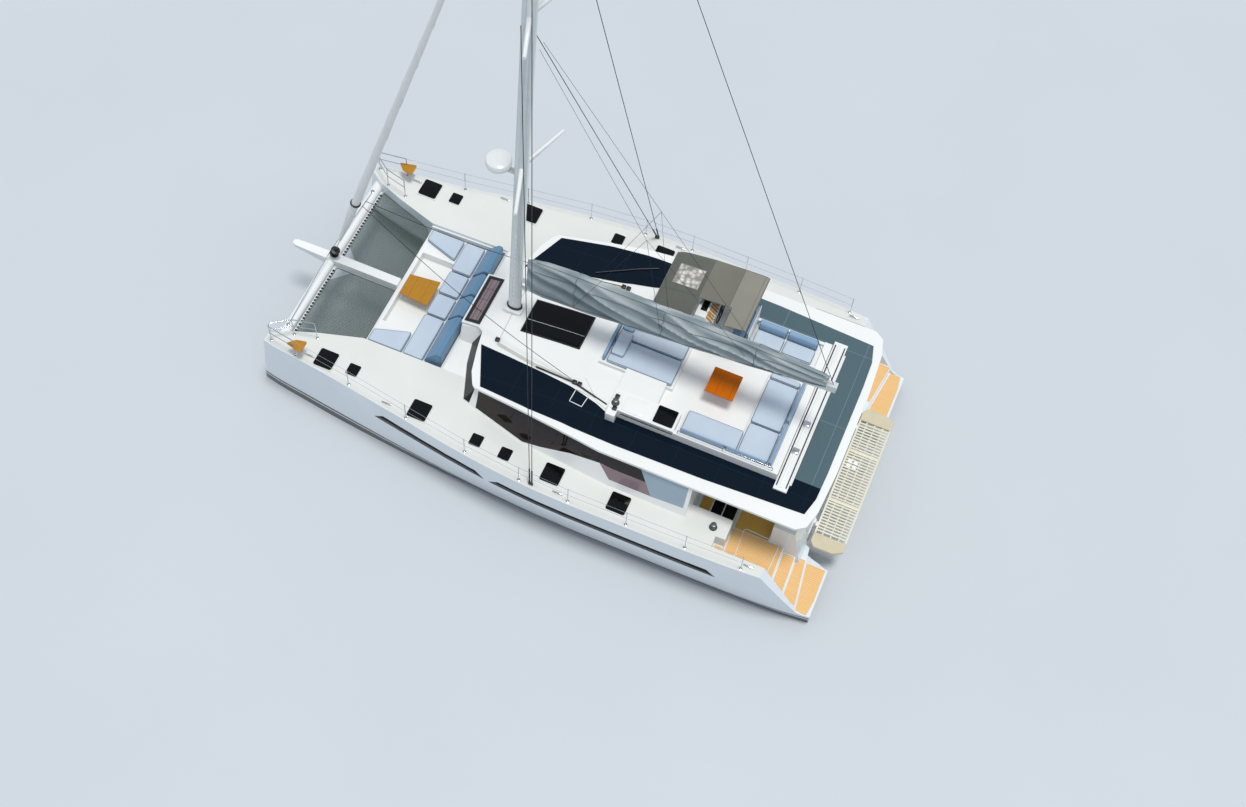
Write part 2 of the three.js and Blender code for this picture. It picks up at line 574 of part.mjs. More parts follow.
// Helm station to starboard
const HELM_Y = -1400;
const WHEEL_X = -2830;
const WHEEL_Z = 3870;
const consoleBody = profile([[-2200, ROOF_Z + FLY_FLOOR + SEAM], [-2700, ROOF_Z + FLY_FLOOR + SEAM],
  [-2760, 3900], [-2560, 4080], [-2300, 4080]], -1860, -900);
const hubRod = rod([-2700, HELM_Y, WHEEL_Z], [WHEEL_X + 30 + RUNNING_GAP, HELM_Y, WHEEL_Z], 40, 12);
add('helm_console', join(consoleBody, hubRod), WHITE, 0.3);
const WHEEL_R = 330;
const rimSection = new THREE.TorusGeometry(WHEEL_R, 16, 6, 28).rotateY(Math.PI / 2);
let wheel = join(rimSection, rod([30, 0, 0], [-30, 0, 0], 55, 12));
for (let k = 0; k < 5; k += 1) {
  const angle = k * 2 * Math.PI / 5;
  wheel = join(wheel, rod([0, 0, 0], [0, Math.sin(angle) * WHEEL_R, Math.cos(angle) * WHEEL_R], 11, 6));
}
add('steering_wheel', wheel.translate([WHEEL_X, HELM_Y, WHEEL_Z]), BLACK, 0.4);
const helmSeat = join(
  box(-3250, -3680, -1860, -900, ROOF_Z + FLY_FLOOR + SEAM, 3640),
  box(-3600, -3700, -1860, -900, 3600, 4080),
);
add('helm_seat', helmSeat, 0x8fa2b5, 0.8);

// Bimini over the helm, with the open corner that shows the wheel
const BIMINI_FRONT_X = -1280;
const BIMINI_AFT_X = -3650;
const BIMINI_FRONT_Z = 4250;
const BIMINI_AFT_Z = 4470;
const biminiPlan = [[BIMINI_FRONT_X, -2350], [BIMINI_FRONT_X, -560], [-2270, -640], [-2270, -1220],
  [-3100, -1220], [-3100, -690], [BIMINI_AFT_X, -690], [BIMINI_AFT_X, -2390], [-3000, -2450], [-2250, -2460]];
const canopyZ = (x) => BIMINI_FRONT_Z
  + (BIMINI_AFT_Z - BIMINI_FRONT_Z) * (x - BIMINI_FRONT_X) / (BIMINI_AFT_X - BIMINI_FRONT_X);
const canopySlice = (low, high) => profile([[-1200, canopyZ(-1200) + low], [-3800, canopyZ(-3800) + low],
  [-3800, canopyZ(-3800) + high], [-1200, canopyZ(-1200) + high]], -3000, 0);
add('bimini', common(plan(biminiPlan, 4000, 4800), canopySlice(0, 18)), 0x9a978c, 0.9);
const TUBE_R = 16;
const tubeZ = (x) => canopyZ(x) - TUBE_R - RUNNING_GAP;
const FRAME_Y = -2230;
const POST_FOOT_Y = -1920;
const framePost = (x) => join(
  rod([x, POST_FOOT_Y, 3330 + SEAM], [x, POST_FOOT_Y, 3350], TUBE_R + 10, 12),
  rod([x, POST_FOOT_Y, 3345], [x, FRAME_Y, tubeZ(x)], TUBE_R, 8),
);
const hoop = (x, y0, y1) => rod([x, y0, tubeZ(x)], [x, y1, tubeZ(x)], TUBE_R, 8);
const biminiFrame = join(
  framePost(-1600),
  framePost(-3560),
  hoop(-1600, FRAME_Y - 40, -620),
  hoop(-3560, FRAME_Y - 40, -760),
  rod([-1450, FRAME_Y, tubeZ(-1450)], [-3620, FRAME_Y, tubeZ(-3620)], TUBE_R, 8),
);
add('bimini_frame', biminiFrame, STEEL, 0.3, 0.9);

// Mainsheet traveller beam across the roof
const travellerBeam = join(
  box(-5610, -5950, -COAMING_Y, COAMING_Y, ROOF_Z + SEAM, 3160),
  box(-5610, -5950, -2220, 2220, ROOF_Z + 14 + SEAM, 3160),
  box(-5740, -5800, -2150, 2150, 3150, 3190),
);
add('traveller_beam', travellerBeam, WHITE, 0.4);

// Mast with its step, gooseneck and two pairs of spreaders
const MAST_CHORD = 340;
const MAST_WIDTH = 210;
function mastRing(z, scale) {
  const ring = [];
  for (let k = 0; k < 16; k += 1) {
    const angle = k * Math.PI / 8;
    const [dx, dy] = [Math.cos(angle) * MAST_CHORD / 2, Math.sin(angle) * MAST_WIDTH / 2];
    ring.push([mastX(z) + scale * dx, scale * dy, z]);
  }
  return ring;
}
// Spreader z at the mast, tip y, tip sweep aft
const SPREADERS = [[8550, 1270, 430], [13350, 1080, 380]];
const GOOSENECK_X = 1730;
const GOOSENECK_Z = 3980;
let mast = join(
  loft([mastRing(MAST_BASE_Z - 60, 1), mastRing(17000, 1), mastRing(MAST_TOP_Z, 0.7)]),
  box(MAST_BASE_X - 230, MAST_BASE_X + 230, -190, 190, 2600, MAST_BASE_Z),
  box(GOOSENECK_X - 40, MAST_BASE_X - 60, -45, 45, GOOSENECK_Z - 200, GOOSENECK_Z - 130),
  box(GOOSENECK_X - 40, MAST_BASE_X - 60, -45, 45, GOOSENECK_Z + 130, GOOSENECK_Z + 200),
  box(mastX(8300), 2350, -60, 60, 8240, 8300),
);
mast = cut(mast, underRoof(-ROOF_THICKNESS - SEAM));
for (const [z, tipY, sweep] of SPREADERS) {
  for (const side of [-1, 1]) {
    mast = join(mast, rod([mastX(z), 0, z], [mastX(z) - sweep, side * tipY, z + 40], 60, 8, 42));
  }
}
add('mast', mast, 0x9aa4aa, 0.35, 0.8);
const RADAR_FOOT_Z = 8300 + SEAM;
const radar = rod([2420, 0, RADAR_FOOT_Z], [2420, 0, RADAR_FOOT_Z + 250], 300, 24, 290);
add('radar', radar, WHITE, 0.3);

// Boom, hinged at the gooseneck and held up aft, with the stowed mainsail in its cover
// At rest its aft end stands a little to port of the centreline
const BOOM_SWING = -2.2;
const BOOM_START_X = GOOSENECK_X - 80;
const BOOM_END_X = -6180;
const BOOM_SLOPE = 0.152;
const BOOM_HALF = 80;
const BOOM_RISE = 110;            // half height of the boom
const boomZ = (x) => GOOSENECK_Z + (GOOSENECK_X - x) * BOOM_SLOPE;
const swing = (shape) => solid(shape).translate([-GOOSENECK_X, 0, 0]).rotate([0, 0, BOOM_SWING])
  .translate([GOOSENECK_X, 0, 0]);
const PIN_HALF = 130 - RUNNING_GAP;
const boom = join(
  profile([[BOOM_START_X, boomZ(BOOM_START_X) - BOOM_RISE], [BOOM_START_X, boomZ(BOOM_START_X) + BOOM_RISE],
    [BOOM_END_X, boomZ(BOOM_END_X) + BOOM_RISE], [BOOM_END_X, boomZ(BOOM_END_X) - BOOM_RISE]],
  -BOOM_HALF, BOOM_HALF),
  rod([GOOSENECK_X, 0, GOOSENECK_Z - PIN_HALF], [GOOSENECK_X, 0, GOOSENECK_Z + PIN_HALF], 32, 12),
  box(GOOSENECK_X - 120, GOOSENECK_X, -25, 25, GOOSENECK_Z - 70, GOOSENECK_Z + 70),
);
add('boom', swing(boom), 0xa8b0b4, 0.35, 0.8);

// Sail cover, folded over the boom and hanging beside it
// x, height above the boom, half width
const COVER = [[1560, 1040, 140], [1300, 1080, 200], [0, 980, 245], [-2500, 700, 235], [-4800, 400, 185],
  [-5950, 230, 110]];
function coverRing([x, height, half]) {
  const top = boomZ(x) + BOOM_RISE + SEAM;
  const side = [[half * 0.9, top - BOOM_RISE * 0.8], [half, top + height * 0.25],
    [half * 0.95, top + height * 0.6], [half * 0.5, top + height * 0.92]];
  return [
    [x, BOOM_HALF + SEAM, top], [x, BOOM_HALF + SEAM, top - BOOM_RISE * 0.8],
    ...side.map(([y, z]) => [x, y, z]),
    [x, 0, top + height],
    ...side.map(([y, z]) => [x, -y, z]).reverse(),
    [x, -BOOM_HALF - SEAM, top - BOOM_RISE * 0.8], [x, -BOOM_HALF - SEAM, top],
  ];
}
add('sail_cover', swing(loft(COVER.map(coverRing))), 0x8b8f90, 0.85);

// Forestay with the furled genoa and its drum
const SPRIT_TOP_Z = 1880;
const STAY_FOOT = [7190, 0, SPRIT_TOP_Z + 3];
const stayTop = [mastX(STAY_Z) + 150, 0, STAY_Z];
const along = (t) => STAY_FOOT.map((value, k) => value + (stayTop[k] - value) * t);
const genoa = join(
  rod(STAY_FOOT, along(0.996), 9, 8),
  rod(along(0.006), along(0.02), 125, 16),
  rod(along(0.05), along(0.12), 45, 12, 120),
  rod(along(0.119), along(0.551), 119, 12, 86),
  rod(along(0.55), along(0.97), 84, 12, 25),
);
add('furled_genoa', genoa, 0xb9bcbb, 0.7);

// Shrouds on each side: cap shroud to the hounds and lower shroud to the second spreaders
const shroudRun = (x, topY, topZ, radius) => rod([CHAINPLATE_X + x, CHAINPLATE_Y, DECK_Z + 110],
  [mastX(topZ), topY, topZ], radius, 6);
const shrouds = join(
  box(CHAINPLATE_X - 60, CHAINPLATE_X + 60, CHAINPLATE_Y - 14, CHAINPLATE_Y + 14, DECK_Z + SEAM,
    DECK_Z + 160),
  shroudRun(-30, 107, STAY_Z, 10),
  shroudRun(30, 118, 13100, 9),
);
addPair('shrouds', shrouds, STEEL, 0.3, 0.9);

// Forward crossbeam, bowsprit and the two trampolines
const crossbeam = cut(
  rod([BEAM_X, -2700, BEAM_Z], [BEAM_X, 2700, BEAM_Z], BEAM_R, 16),
  hullPort.translate([0, -SEAM, 0]),
  hullStarboard.translate([0, SEAM, 0]),
);
add('crossbeam', crossbeam, STEEL, 0.3, 0.7);

const SPRIT_TIP_X = 8340;
const SPRIT_HALF = 120;
const spritHalf = [[BRIDGE_FRONT_X + SEAM, SPRIT_HALF], [7400, SPRIT_HALF], [8250, 95], [8315, 65],
  [SPRIT_TIP_X, 25]];
const spritBar = plan(fullOutline(spritHalf), 1640, SPRIT_TOP_Z);
const bowsprit = cut(
  common(spritBar, profile([[5000, 1640], [7500, 1640], [SPRIT_TIP_X + 10, 1790],
    [SPRIT_TIP_X + 10, SPRIT_TOP_Z], [5000, SPRIT_TOP_Z]], -200, 200)),
  rod([BEAM_X, -300, BEAM_Z], [BEAM_X, 300, BEAM_Z], BEAM_R + 2, 16),
);
add('bowsprit', bowsprit, WHITE, 0.35);

const NET_Z = 1650;
const netPlan = [[BRIDGE_FRONT_X + SEAM, SPRIT_HALF + SEAM], [BEAM_X, SPRIT_HALF + SEAM], [BEAM_X, 2800],
  [BRIDGE_FRONT_X + SEAM, 2800]];
const trampoline = cut(
  plan(netPlan, NET_Z, NET_Z + 12),
  hullPort.translate([0, -SEAM, 0]),
  box(BEAM_X - BEAM_R - 5, BEAM_X + 200, -100, 3000, NET_Z - 50, NET_Z + 50),
);
addPair('trampoline', trampoline, 0x7b827c, 0.9);

// Guardrails: pulpit with a seat on the bow, stanchions and two lifelines along the deck edge
const RAIL_TOP_Z = 2680;
const LIFELINE_LOW_Z = 2380;
const STANCHION_X = [5000, 3300, 1600, 100, -1200, -2700, -4200, -5600];
const railY = (x) => outerY(x) - 75;
const post = (x, y, top) => rod([x, y, deckAt(x) + RUNNING_GAP], [x, y, top], 13, 6);
const railRun = (points, radius) => points.slice(1).map((point, k) => rod(points[k], point, radius, 6));
const ends = [6600, ...STANCHION_X];
const PULPIT_FEET = [[6600, railY(6600)], [7330, 2955], [6900, 2570], [6330, 2430]];
const guardrail = join(
  ...STANCHION_X.map((x) => post(x, railY(x), RAIL_TOP_Z)),
  ...railRun(ends.map((x) => [x, railY(x), RAIL_TOP_Z - 10]), 5),
  ...railRun(ends.map((x) => [x, railY(x), LIFELINE_LOW_Z]), 5),
  ...railRun([[6600, railY(6600), RAIL_TOP_Z - 10], [7330, 2985, RAIL_TOP_Z - 10],
    [7330, 2925, RAIL_TOP_Z - 10], [6900, 2570, RAIL_TOP_Z - 10], [6330, 2430, RAIL_TOP_Z - 10]], 14),
  ...railRun([[6600, railY(6600), LIFELINE_LOW_Z], [7330, 2955, LIFELINE_LOW_Z], [6900, 2570, LIFELINE_LOW_Z],
    [6330, 2430, LIFELINE_LOW_Z]], 11),
  ...PULPIT_FEET.map(([x, y]) => post(x, y, RAIL_TOP_Z - 10)),
  plan([[6600, railY(6600) + 10], [6860, railY(6860) + 5], [6780, 2700], [6330, 2440], [6330, 2560]],
    2365, 2390),
);
addPair('guardrail', guardrail, STEEL, 0.25, 0.9);

// Swim platform between the sterns, lifted on the bridgedeck's guide rails
const PLATFORM_TOP_Z = 940;
const PLATFORM_Y = 2120;
const PLATFORM_FRONT_X = -6830;
const PLATFORM_AFT_X = -7680;
const platformPlan = fullOutline([[PLATFORM_FRONT_X, PLATFORM_Y - 130], [PLATFORM_FRONT_X - 110, PLATFORM_Y],
  [PLATFORM_AFT_X + 240, PLATFORM_Y], [PLATFORM_AFT_X, PLATFORM_Y - 130]]);
const carriage = box(BRIDGE_AFT_X - 45 - RUNNING_GAP, PLATFORM_FRONT_X - 20, RAIL_Y - 60, RAIL_Y + 60,
  720, PLATFORM_TOP_Z - 5);
const platformDeck = plan(platformPlan, PLATFORM_TOP_Z - 75, PLATFORM_TOP_Z);
const swimPlatform = join(platformDeck, carriage, mirror(carriage));
add('swim_platform', swimPlatform, 0xd9d3c2, 0.7);

export default group;
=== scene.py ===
# %% [markdown]
# This lesson dresses the CAD model of a cruising sailing catamaran. The CAD solids give every
# main shape and every joint. Blender adds soft edges, cloth, fittings and materials in the same
# frame: metres, +X to the bow, +Y to port, +Z up, with the waterline at z = 0.

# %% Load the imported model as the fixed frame
import json
import math

import bmesh
import bpy
from mathutils import Matrix, Vector, noise
from mathutils.bvhtree import BVHTree


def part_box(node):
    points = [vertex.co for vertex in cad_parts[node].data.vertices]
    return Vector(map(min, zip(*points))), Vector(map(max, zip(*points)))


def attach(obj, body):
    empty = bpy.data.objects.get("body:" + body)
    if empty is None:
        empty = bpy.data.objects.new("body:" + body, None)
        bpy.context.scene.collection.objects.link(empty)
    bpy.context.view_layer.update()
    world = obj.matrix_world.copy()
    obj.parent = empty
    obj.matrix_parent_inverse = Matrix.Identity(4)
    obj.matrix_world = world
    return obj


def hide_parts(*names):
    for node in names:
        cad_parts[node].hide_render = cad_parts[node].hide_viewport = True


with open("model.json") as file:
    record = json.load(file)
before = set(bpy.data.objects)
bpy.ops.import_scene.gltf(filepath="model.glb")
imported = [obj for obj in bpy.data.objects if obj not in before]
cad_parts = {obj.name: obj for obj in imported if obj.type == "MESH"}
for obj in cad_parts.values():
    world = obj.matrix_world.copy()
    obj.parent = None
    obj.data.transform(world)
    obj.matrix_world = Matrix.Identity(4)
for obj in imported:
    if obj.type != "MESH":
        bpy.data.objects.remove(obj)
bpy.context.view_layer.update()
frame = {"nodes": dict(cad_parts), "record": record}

# %% [markdown]
# The picture was taken from high above the port quarter. A camera is easiest to place with a
# position, a point that it looks at and a roll, because each can then be read as a real size.
# The lens follows from how fast the boat gets smaller with distance. Depth of field stays off.

# %% The camera
CAMERA_PLACE = Vector((-7.511, 20.580, 37.550))
AIM_POINT = Vector((-0.998, -0.142, 0.0))
CAMERA_ROLL = math.radians(6.365)
LENS_MM = 48.06

camera_data = bpy.data.cameras.new("camera")
camera_data.lens = LENS_MM
camera_data.sensor_width = 36.0
camera_data.clip_end = 400.0
camera = bpy.data.objects.new("camera", camera_data)
bpy.context.scene.collection.objects.link(camera)
look = (CAMERA_PLACE - AIM_POINT).to_track_quat("Z", "Y").to_matrix().to_4x4()
camera.matrix_world = Matrix.Translation(CAMERA_PLACE) @ look @ Matrix.Rotation(CAMERA_ROLL, 4, "Z")
bpy.context.scene.camera = camera
print("camera", round((CAMERA_PLACE - AIM_POINT).length, 1), "m from its aim point")

# %% [markdown]
# The light of the picture comes from almost straight above, so the flared topsides lie in open
# shade. One wide sun keeps that direction with soft shadow edges, and a pale world fills
# the shade as a studio's walls would. The plain view transform keeps whites white and darks dark,
# as the picture has them.

# %% Soft light
SUN_FROM = Vector((-0.14, 0.03, 1.0))
SUN_COLOUR, SUN_STRENGTH, SUN_SPREAD = (1.0, 0.975, 0.94), 2.0, math.radians(16)
SKY_COLOUR, SKY_STRENGTH = (0.80, 0.88, 1.0, 1.0), 0.62

sun_data = bpy.data.lights.new("key_light", "SUN")
sun_data.energy = SUN_STRENGTH
sun_data.angle = SUN_SPREAD
sun_data.color = SUN_COLOUR
sun = bpy.data.objects.new("key_light", sun_data)
sun.matrix_world = SUN_FROM.to_track_quat("Z", "Y").to_matrix().to_4x4()
bpy.context.scene.collection.objects.link(sun)
world = bpy.data.worlds.new("studio_world")
world.use_nodes = True
world.node_tree.nodes["Background"].inputs["Color"].default_value = SKY_COLOUR
world.node_tree.nodes["Background"].inputs["Strength"].default_value = SKY_STRENGTH
bpy.context.scene.world = world
bpy.context.scene.view_settings.view_transform = "Standard"
print("one sun and a pale sky")

# %% [markdown]
# Colours are picked as sRGB hex values, which is how a paint chart or a picture gives them.
# Shaders work with linear light, so one function turns a hex value into linear numbers.

# %% Colour
def colour(code):
    """A hex colour as linear red, green, blue and alpha."""
    parts = [int(code[k:k + 2], 16) / 255 for k in (0, 2, 4)]
    return (*[p / 12.92 if p <= 0.04045 else ((p + 0.055) / 1.055) ** 2.4 for p in parts], 1.0)

# %% [markdown]
# Every finish here is a small node tree around one Principled shader. A helper adds a node,
# sets it and links its inputs. A second one starts a material from the numbers that hold all
# over it, and hands back the Object coordinates, because every piece keeps its place in its
# mesh and the pattern then stays put.

# %% Two helpers for materials
def add_node(tree, kind, inputs=None, **settings):
    """One node with its settings. Inputs are values or sockets, by name or by number."""
    node = tree.nodes.new(kind)
    for name, value in settings.items():
        setattr(node, name, value)
    for key, value in (inputs or {}).items():
        if isinstance(value, bpy.types.NodeSocket):
            tree.links.new(value, node.inputs[key])
        else:
            node.inputs[key].default_value = value
    return node


def start_finish(name, base, roughness, metallic=0.0, **sockets):
    """A new material, its tree, its shader and its Object coordinates."""
    material = bpy.data.materials.new(name)
    material.use_nodes = True
    material.diffuse_color = colour(base)
    tree = material.node_tree
    shader = tree.nodes["Principled BSDF"]
    shader.inputs["Base Color"].default_value = colour(base)
    shader.inputs["Roughness"].default_value = roughness
    shader.inputs["Metallic"].default_value = metallic
    for socket, value in sockets.items():
        shader.inputs[socket.replace("_", " ")].default_value = value
    return material, tree, shader, add_node(tree, "ShaderNodeTexCoord").outputs["Object"]

# %% [markdown]
# Real surfaces are never one flat colour. Slow noise drifts between two shades over patches of
# a given size, and fine noise lifts the surface by a given height, as grit, print-through or
# weave does. Both sizes are real ones in metres.

# %% Patina: drift of colour and fine relief
def add_drift(tree, place, light, dark, patch):
    """A colour that drifts between two shades over patches of this size."""
    slow = add_node(tree, "ShaderNodeTexNoise", {"Vector": place, "Scale": 1 / patch, "Detail": 5.0})
    mix = {0: slow.outputs["Fac"], 6: colour(light), 7: colour(dark)}
    return add_node(tree, "ShaderNodeMix", mix, data_type="RGBA").outputs[2]


def add_relief(tree, shader, height_socket, height, strength=0.6):
    """Bump of this height in metres from a pattern."""
    bump = add_node(tree, "ShaderNodeBump",
                    {"Strength": strength, "Distance": height, "Height": height_socket})
    tree.links.new(bump.outputs["Normal"], shader.inputs["Normal"])


def patina(name, light, dark, patch, grain, height, roughness, metallic=0.0, **sockets):
    """A finish with drifting colour and fine noise relief."""
    material, tree, shader, place = start_finish(name, light, roughness, metallic, **sockets)
    tree.links.new(add_drift(tree, place, light, dark, patch), shader.inputs["Base Color"])
    fine = add_node(tree, "ShaderNodeTexNoise", {"Vector": place, "Scale": 1 / grain, "Detail": 3.0})
    add_relief(tree, shader, fine.outputs["Fac"], height)
    return material

# %% [markdown]
# Gelcoat is polyester resin sprayed into a polished mould. It is bright white, glossy, and has
# a slight print-through of the cloth behind it. A pale blue-grey copy is white gelcoat with
# painted shade, for the cabin wall that lies in the shade under the roof.
# Non-skid gelcoat is the same resin cast with a fine pattern, duller and a touch greyer. The
# pattern is drawn at 18 mm, about four times the real one, so that it can show at all.

# %% Moulded gelcoat
gelcoat = patina("gelcoat_polished", "F1F2EF", "E8E9E6", 1.4, 0.12, 0.0006, 0.2, Specular_IOR_Level=0.35)
# White gelcoat with the shade under the roof painted into its colour, pale blue-grey
gelcoat_painted_shade = patina("gelcoat_white_painted_shade", "A3B5C1", "93A6B3", 0.8, 0.12, 0.0006, 0.25,
                       Specular_IOR_Level=0.3)
nonskid = patina("gelcoat_nonskid", "E2E3DE", "D8DAD5", 0.9, 0.018, 0.002, 0.55, Specular_IOR_Level=0.2)
interior_laminate = patina("interior_laminate", "D9D0C0", "C4B8A4", 0.5, 0.03, 0.0005, 0.5)
print("gelcoat mixed")

# %% [markdown]
# The topsides carry the waterline's colours. A constant colour ramp on the height gives dark
# copper antifouling paint below, a thin white line, a black boot stripe and above it white
# gelcoat tinted pale blue, a painted reflection of the water, with crisp edges at real heights.

# %% Topside gelcoat with its waterline stripes
# The top band's pale blue tint on white gelcoat is a painted reflection of the water
STRIPE_HEIGHTS = [("1A222B", 0.0), ("F2F2EE", 0.235), ("0C0E11", 0.275), ("E4ECF0", 0.36)]
RAMP_LOW, RAMP_HIGH = -0.5, 1.5

topside, tree, shader, place = start_finish("gelcoat_topside_striped", "F3F4F2", 0.16, Coat_Weight=0.5,
                                            Coat_Roughness=0.05)
height = add_node(tree, "ShaderNodeSeparateXYZ", {"Vector": place}).outputs["Z"]
level = add_node(tree, "ShaderNodeMapRange", {"Value": height, "From Min": RAMP_LOW, "From Max": RAMP_HIGH})
ramp = add_node(tree, "ShaderNodeValToRGB", {"Fac": level.outputs["Result"]})
ramp.color_ramp.interpolation = "CONSTANT"
for number, (code, start) in enumerate(STRIPE_HEIGHTS):
    stops = ramp.color_ramp.elements
    stop = stops[number] if number < 2 else stops.new(1.0)
    stop.position = 0.0 if number == 0 else (start - RAMP_LOW) / (RAMP_HIGH - RAMP_LOW)
    stop.color = colour(code)
slow = add_node(tree, "ShaderNodeTexNoise", {"Vector": place, "Scale": 0.8, "Detail": 4.0})
shade = add_node(tree, "ShaderNodeMapRange", {"Value": slow.outputs["Fac"], "To Min": 0.93, "To Max": 1.0})
tint = add_node(tree, "ShaderNodeVectorMath", {0: ramp.outputs["Color"], "Scale": shade.outputs["Result"]},
                operation="SCALE")
tree.links.new(tint.outputs["Vector"], shader.inputs["Base Color"])
wave = add_node(tree, "ShaderNodeTexNoise", {"Vector": place, "Scale": 2.2, "Detail": 1.0})
add_relief(tree, shader, wave.outputs["Fac"], 0.004, 0.25)
print(len(STRIPE_HEIGHTS), "bands on the topsides")

# %% [markdown]
# Glass and acrylic: deck hatches are cast black acrylic, which shows as a deep black mirror.
# The saloon's side panes are brown tinted, so part of the light passes. The roof panels are
# flexible solar panels, near-black navy with a fine grid. Across the stern and down the
# starboard side the roof is laid with slate grey non-slip sheets.

# %% Acrylic, tinted glass and roof panels
black_acrylic = patina("acrylic_black_cast", "060708", "0B0E11", 0.35, 0.05, 0.0002, 0.1,
                       Specular_IOR_Level=0.2)
tinted_glass, tree, shader, place = start_finish("glass_brown_tinted", "3A2A26", 0.04, IOR=1.5,
                                                 Specular_IOR_Level=0.3, Transmission_Weight=0.55)
tree.links.new(add_drift(tree, place, "43312B", "1E1C20", 1.2), shader.inputs["Base Color"])
dark_glass, tree, shader, place = start_finish("glass_black_band", "14181B", 0.05, IOR=1.5,
                                               Specular_IOR_Level=0.2, Transmission_Weight=0.1)
tree.links.new(add_drift(tree, place, "121619", "080A0C", 0.8), shader.inputs["Base Color"])
screen_glass = patina("glass_rose_brown", "958385", "7C6A6D", 0.4, 0.2, 0.0002, 0.12, IOR=1.5)


def panel_finish(name, face, line, cell, line_width, roughness):
    """Square cells with thin lines between them, in the roof's plane."""
    material, tree, shader, place = start_finish(name, face, roughness, Specular_IOR_Level=0.15)
    split = add_node(tree, "ShaderNodeSeparateXYZ", {"Vector": place})
    near_line = []
    for axis in ("X", "Y"):
        wrap = add_node(tree, "ShaderNodeMath", {0: split.outputs[axis], 1: cell}, operation="PINGPONG")
        near_line.append(add_node(tree, "ShaderNodeMath", {0: wrap.outputs[0], 1: line_width / 2},
                                  operation="LESS_THAN").outputs[0])
    grid = add_node(tree, "ShaderNodeMath", {0: near_line[0], 1: near_line[1]}, operation="MAXIMUM")
    drift = add_drift(tree, place, face, line, 2.6)
    soft = add_node(tree, "ShaderNodeMix", {0: 0.18, 6: colour(face), 7: drift}, data_type="RGBA")
    mix = {0: grid.outputs[0], 6: soft.outputs[2], 7: colour(line)}
    lines = add_node(tree, "ShaderNodeMix", mix, data_type="RGBA")
    tree.links.new(lines.outputs[2], shader.inputs["Base Color"])
    add_relief(tree, shader, grid.outputs[0], 0.001)
    return material


solar_panel = panel_finish("solar_panel_navy", "03111F", "0A2438", 0.535, 0.008, 0.22)
slate_panel = panel_finish("deck_panel_slate", "4C6168", "6A8088", 1.07, 0.016, 0.5)
print("glass and panels mixed")

# %% [markdown]
# Laid deck is teak in planks of 55 mm with narrow joints between them, tan in the sun. A
# darker copy of it carries painted shade, for the teak that lies in the shade under the roof.
# The tables are varnished wood, a warm orange or amber with grain. The joints come from a
# wrapped coordinate, and the grain from noise stretched along the plank.

# %% Wood
JOINT_WIDE = 0.006


def plank_finish(name, light, dark, joint, plank, across, roughness, **sockets):
    """Planks side by side, with joints and stretched grain. Across is the axis over the planks."""
    material, tree, shader, place = start_finish(name, light, roughness, **sockets)
    stretch = (3.0, 45.0, 45.0) if across == "Y" else (45.0, 3.0, 45.0)
    along = add_node(tree, "ShaderNodeMapping", {"Vector": place, "Scale": stretch})
    grain = add_node(tree, "ShaderNodeTexNoise",
                     {"Vector": along.outputs["Vector"], "Scale": 1.0, "Detail": 6.0, "Distortion": 0.6})
    wood = add_node(tree, "ShaderNodeMix",
                    {0: grain.outputs["Fac"], 6: colour(light), 7: colour(dark)}, data_type="RGBA")
    axis = add_node(tree, "ShaderNodeSeparateXYZ", {"Vector": place}).outputs[across]
    wrap = add_node(tree, "ShaderNodeMath", {0: axis, 1: plank}, operation="MODULO")
    size = add_node(tree, "ShaderNodeMath", {0: wrap.outputs[0]}, operation="ABSOLUTE")
    gap = add_node(tree, "ShaderNodeMath", {0: size.outputs[0], 1: JOINT_WIDE}, operation="LESS_THAN")
    mix = {0: gap.outputs[0], 6: wood.outputs[2], 7: colour(joint)}
    tree.links.new(add_node(tree, "ShaderNodeMix", mix, data_type="RGBA").outputs[2],
                   shader.inputs["Base Color"])
    add_relief(tree, shader, grain.outputs["Fac"], 0.0008)
    return material


PLANK, BOARD = 0.055, 0.35
deck_teak = plank_finish("teak_deck_laid", "F2C88C", "E4B578", "C99A62", PLANK, "Y", 0.6,
                         Specular_IOR_Level=0.2)
# A darker copy of the teak with painted shade, for the teak in the shade under the roof
teak_painted_shade = plank_finish("teak_deck_painted_shade", "DBB05C", "C49A48", "9A7430", PLANK, "Y", 0.6,
                           Specular_IOR_Level=0.2)
varnished_wood = plank_finish("wood_varnished_orange", "D27004", "AE5002", "8E3E02", BOARD, "X", 0.3,
                              Specular_IOR_Level=0.12)
dark_varnish = plank_finish("wood_varnished_amber", "C48C34", "A07022", "805214", BOARD, "X", 0.3,
                            Specular_IOR_Level=0.15)
print("wood mixed")

# %% [markdown]
# Outdoor cloth is woven acrylic. Two crossed waves give the warp and weft as relief, drawn at
# 9 mm because the real 1 mm thread can't show at this distance, and a soft sheen gives the
# fibre's pale edge. Seat covers are grey-blue, backrests a deeper blue, canopies warm grey.

# %% Woven cloth
def cloth_finish(name, light, dark, patch, thread=0.009, sheen=0.25):
    """Woven cloth: crossed threads in relief, with drifting colour and sheen."""
    material, tree, shader, place = start_finish(name, light, 0.85, Sheen_Weight=sheen)
    shader.inputs["Sheen Roughness"].default_value = 0.5
    tree.links.new(add_drift(tree, place, light, dark, patch), shader.inputs["Base Color"])
    threads = [add_node(tree, "ShaderNodeTexWave", {"Vector": place, "Scale": 0.314 / thread},
                        bands_direction=direction).outputs["Fac"] for direction in ("X", "Y")]
    weave = add_node(tree, "ShaderNodeMath", {0: threads[0], 1: threads[1]}, operation="ADD")
    add_relief(tree, shader, weave.outputs[0], 0.0012, 0.5)
    return material


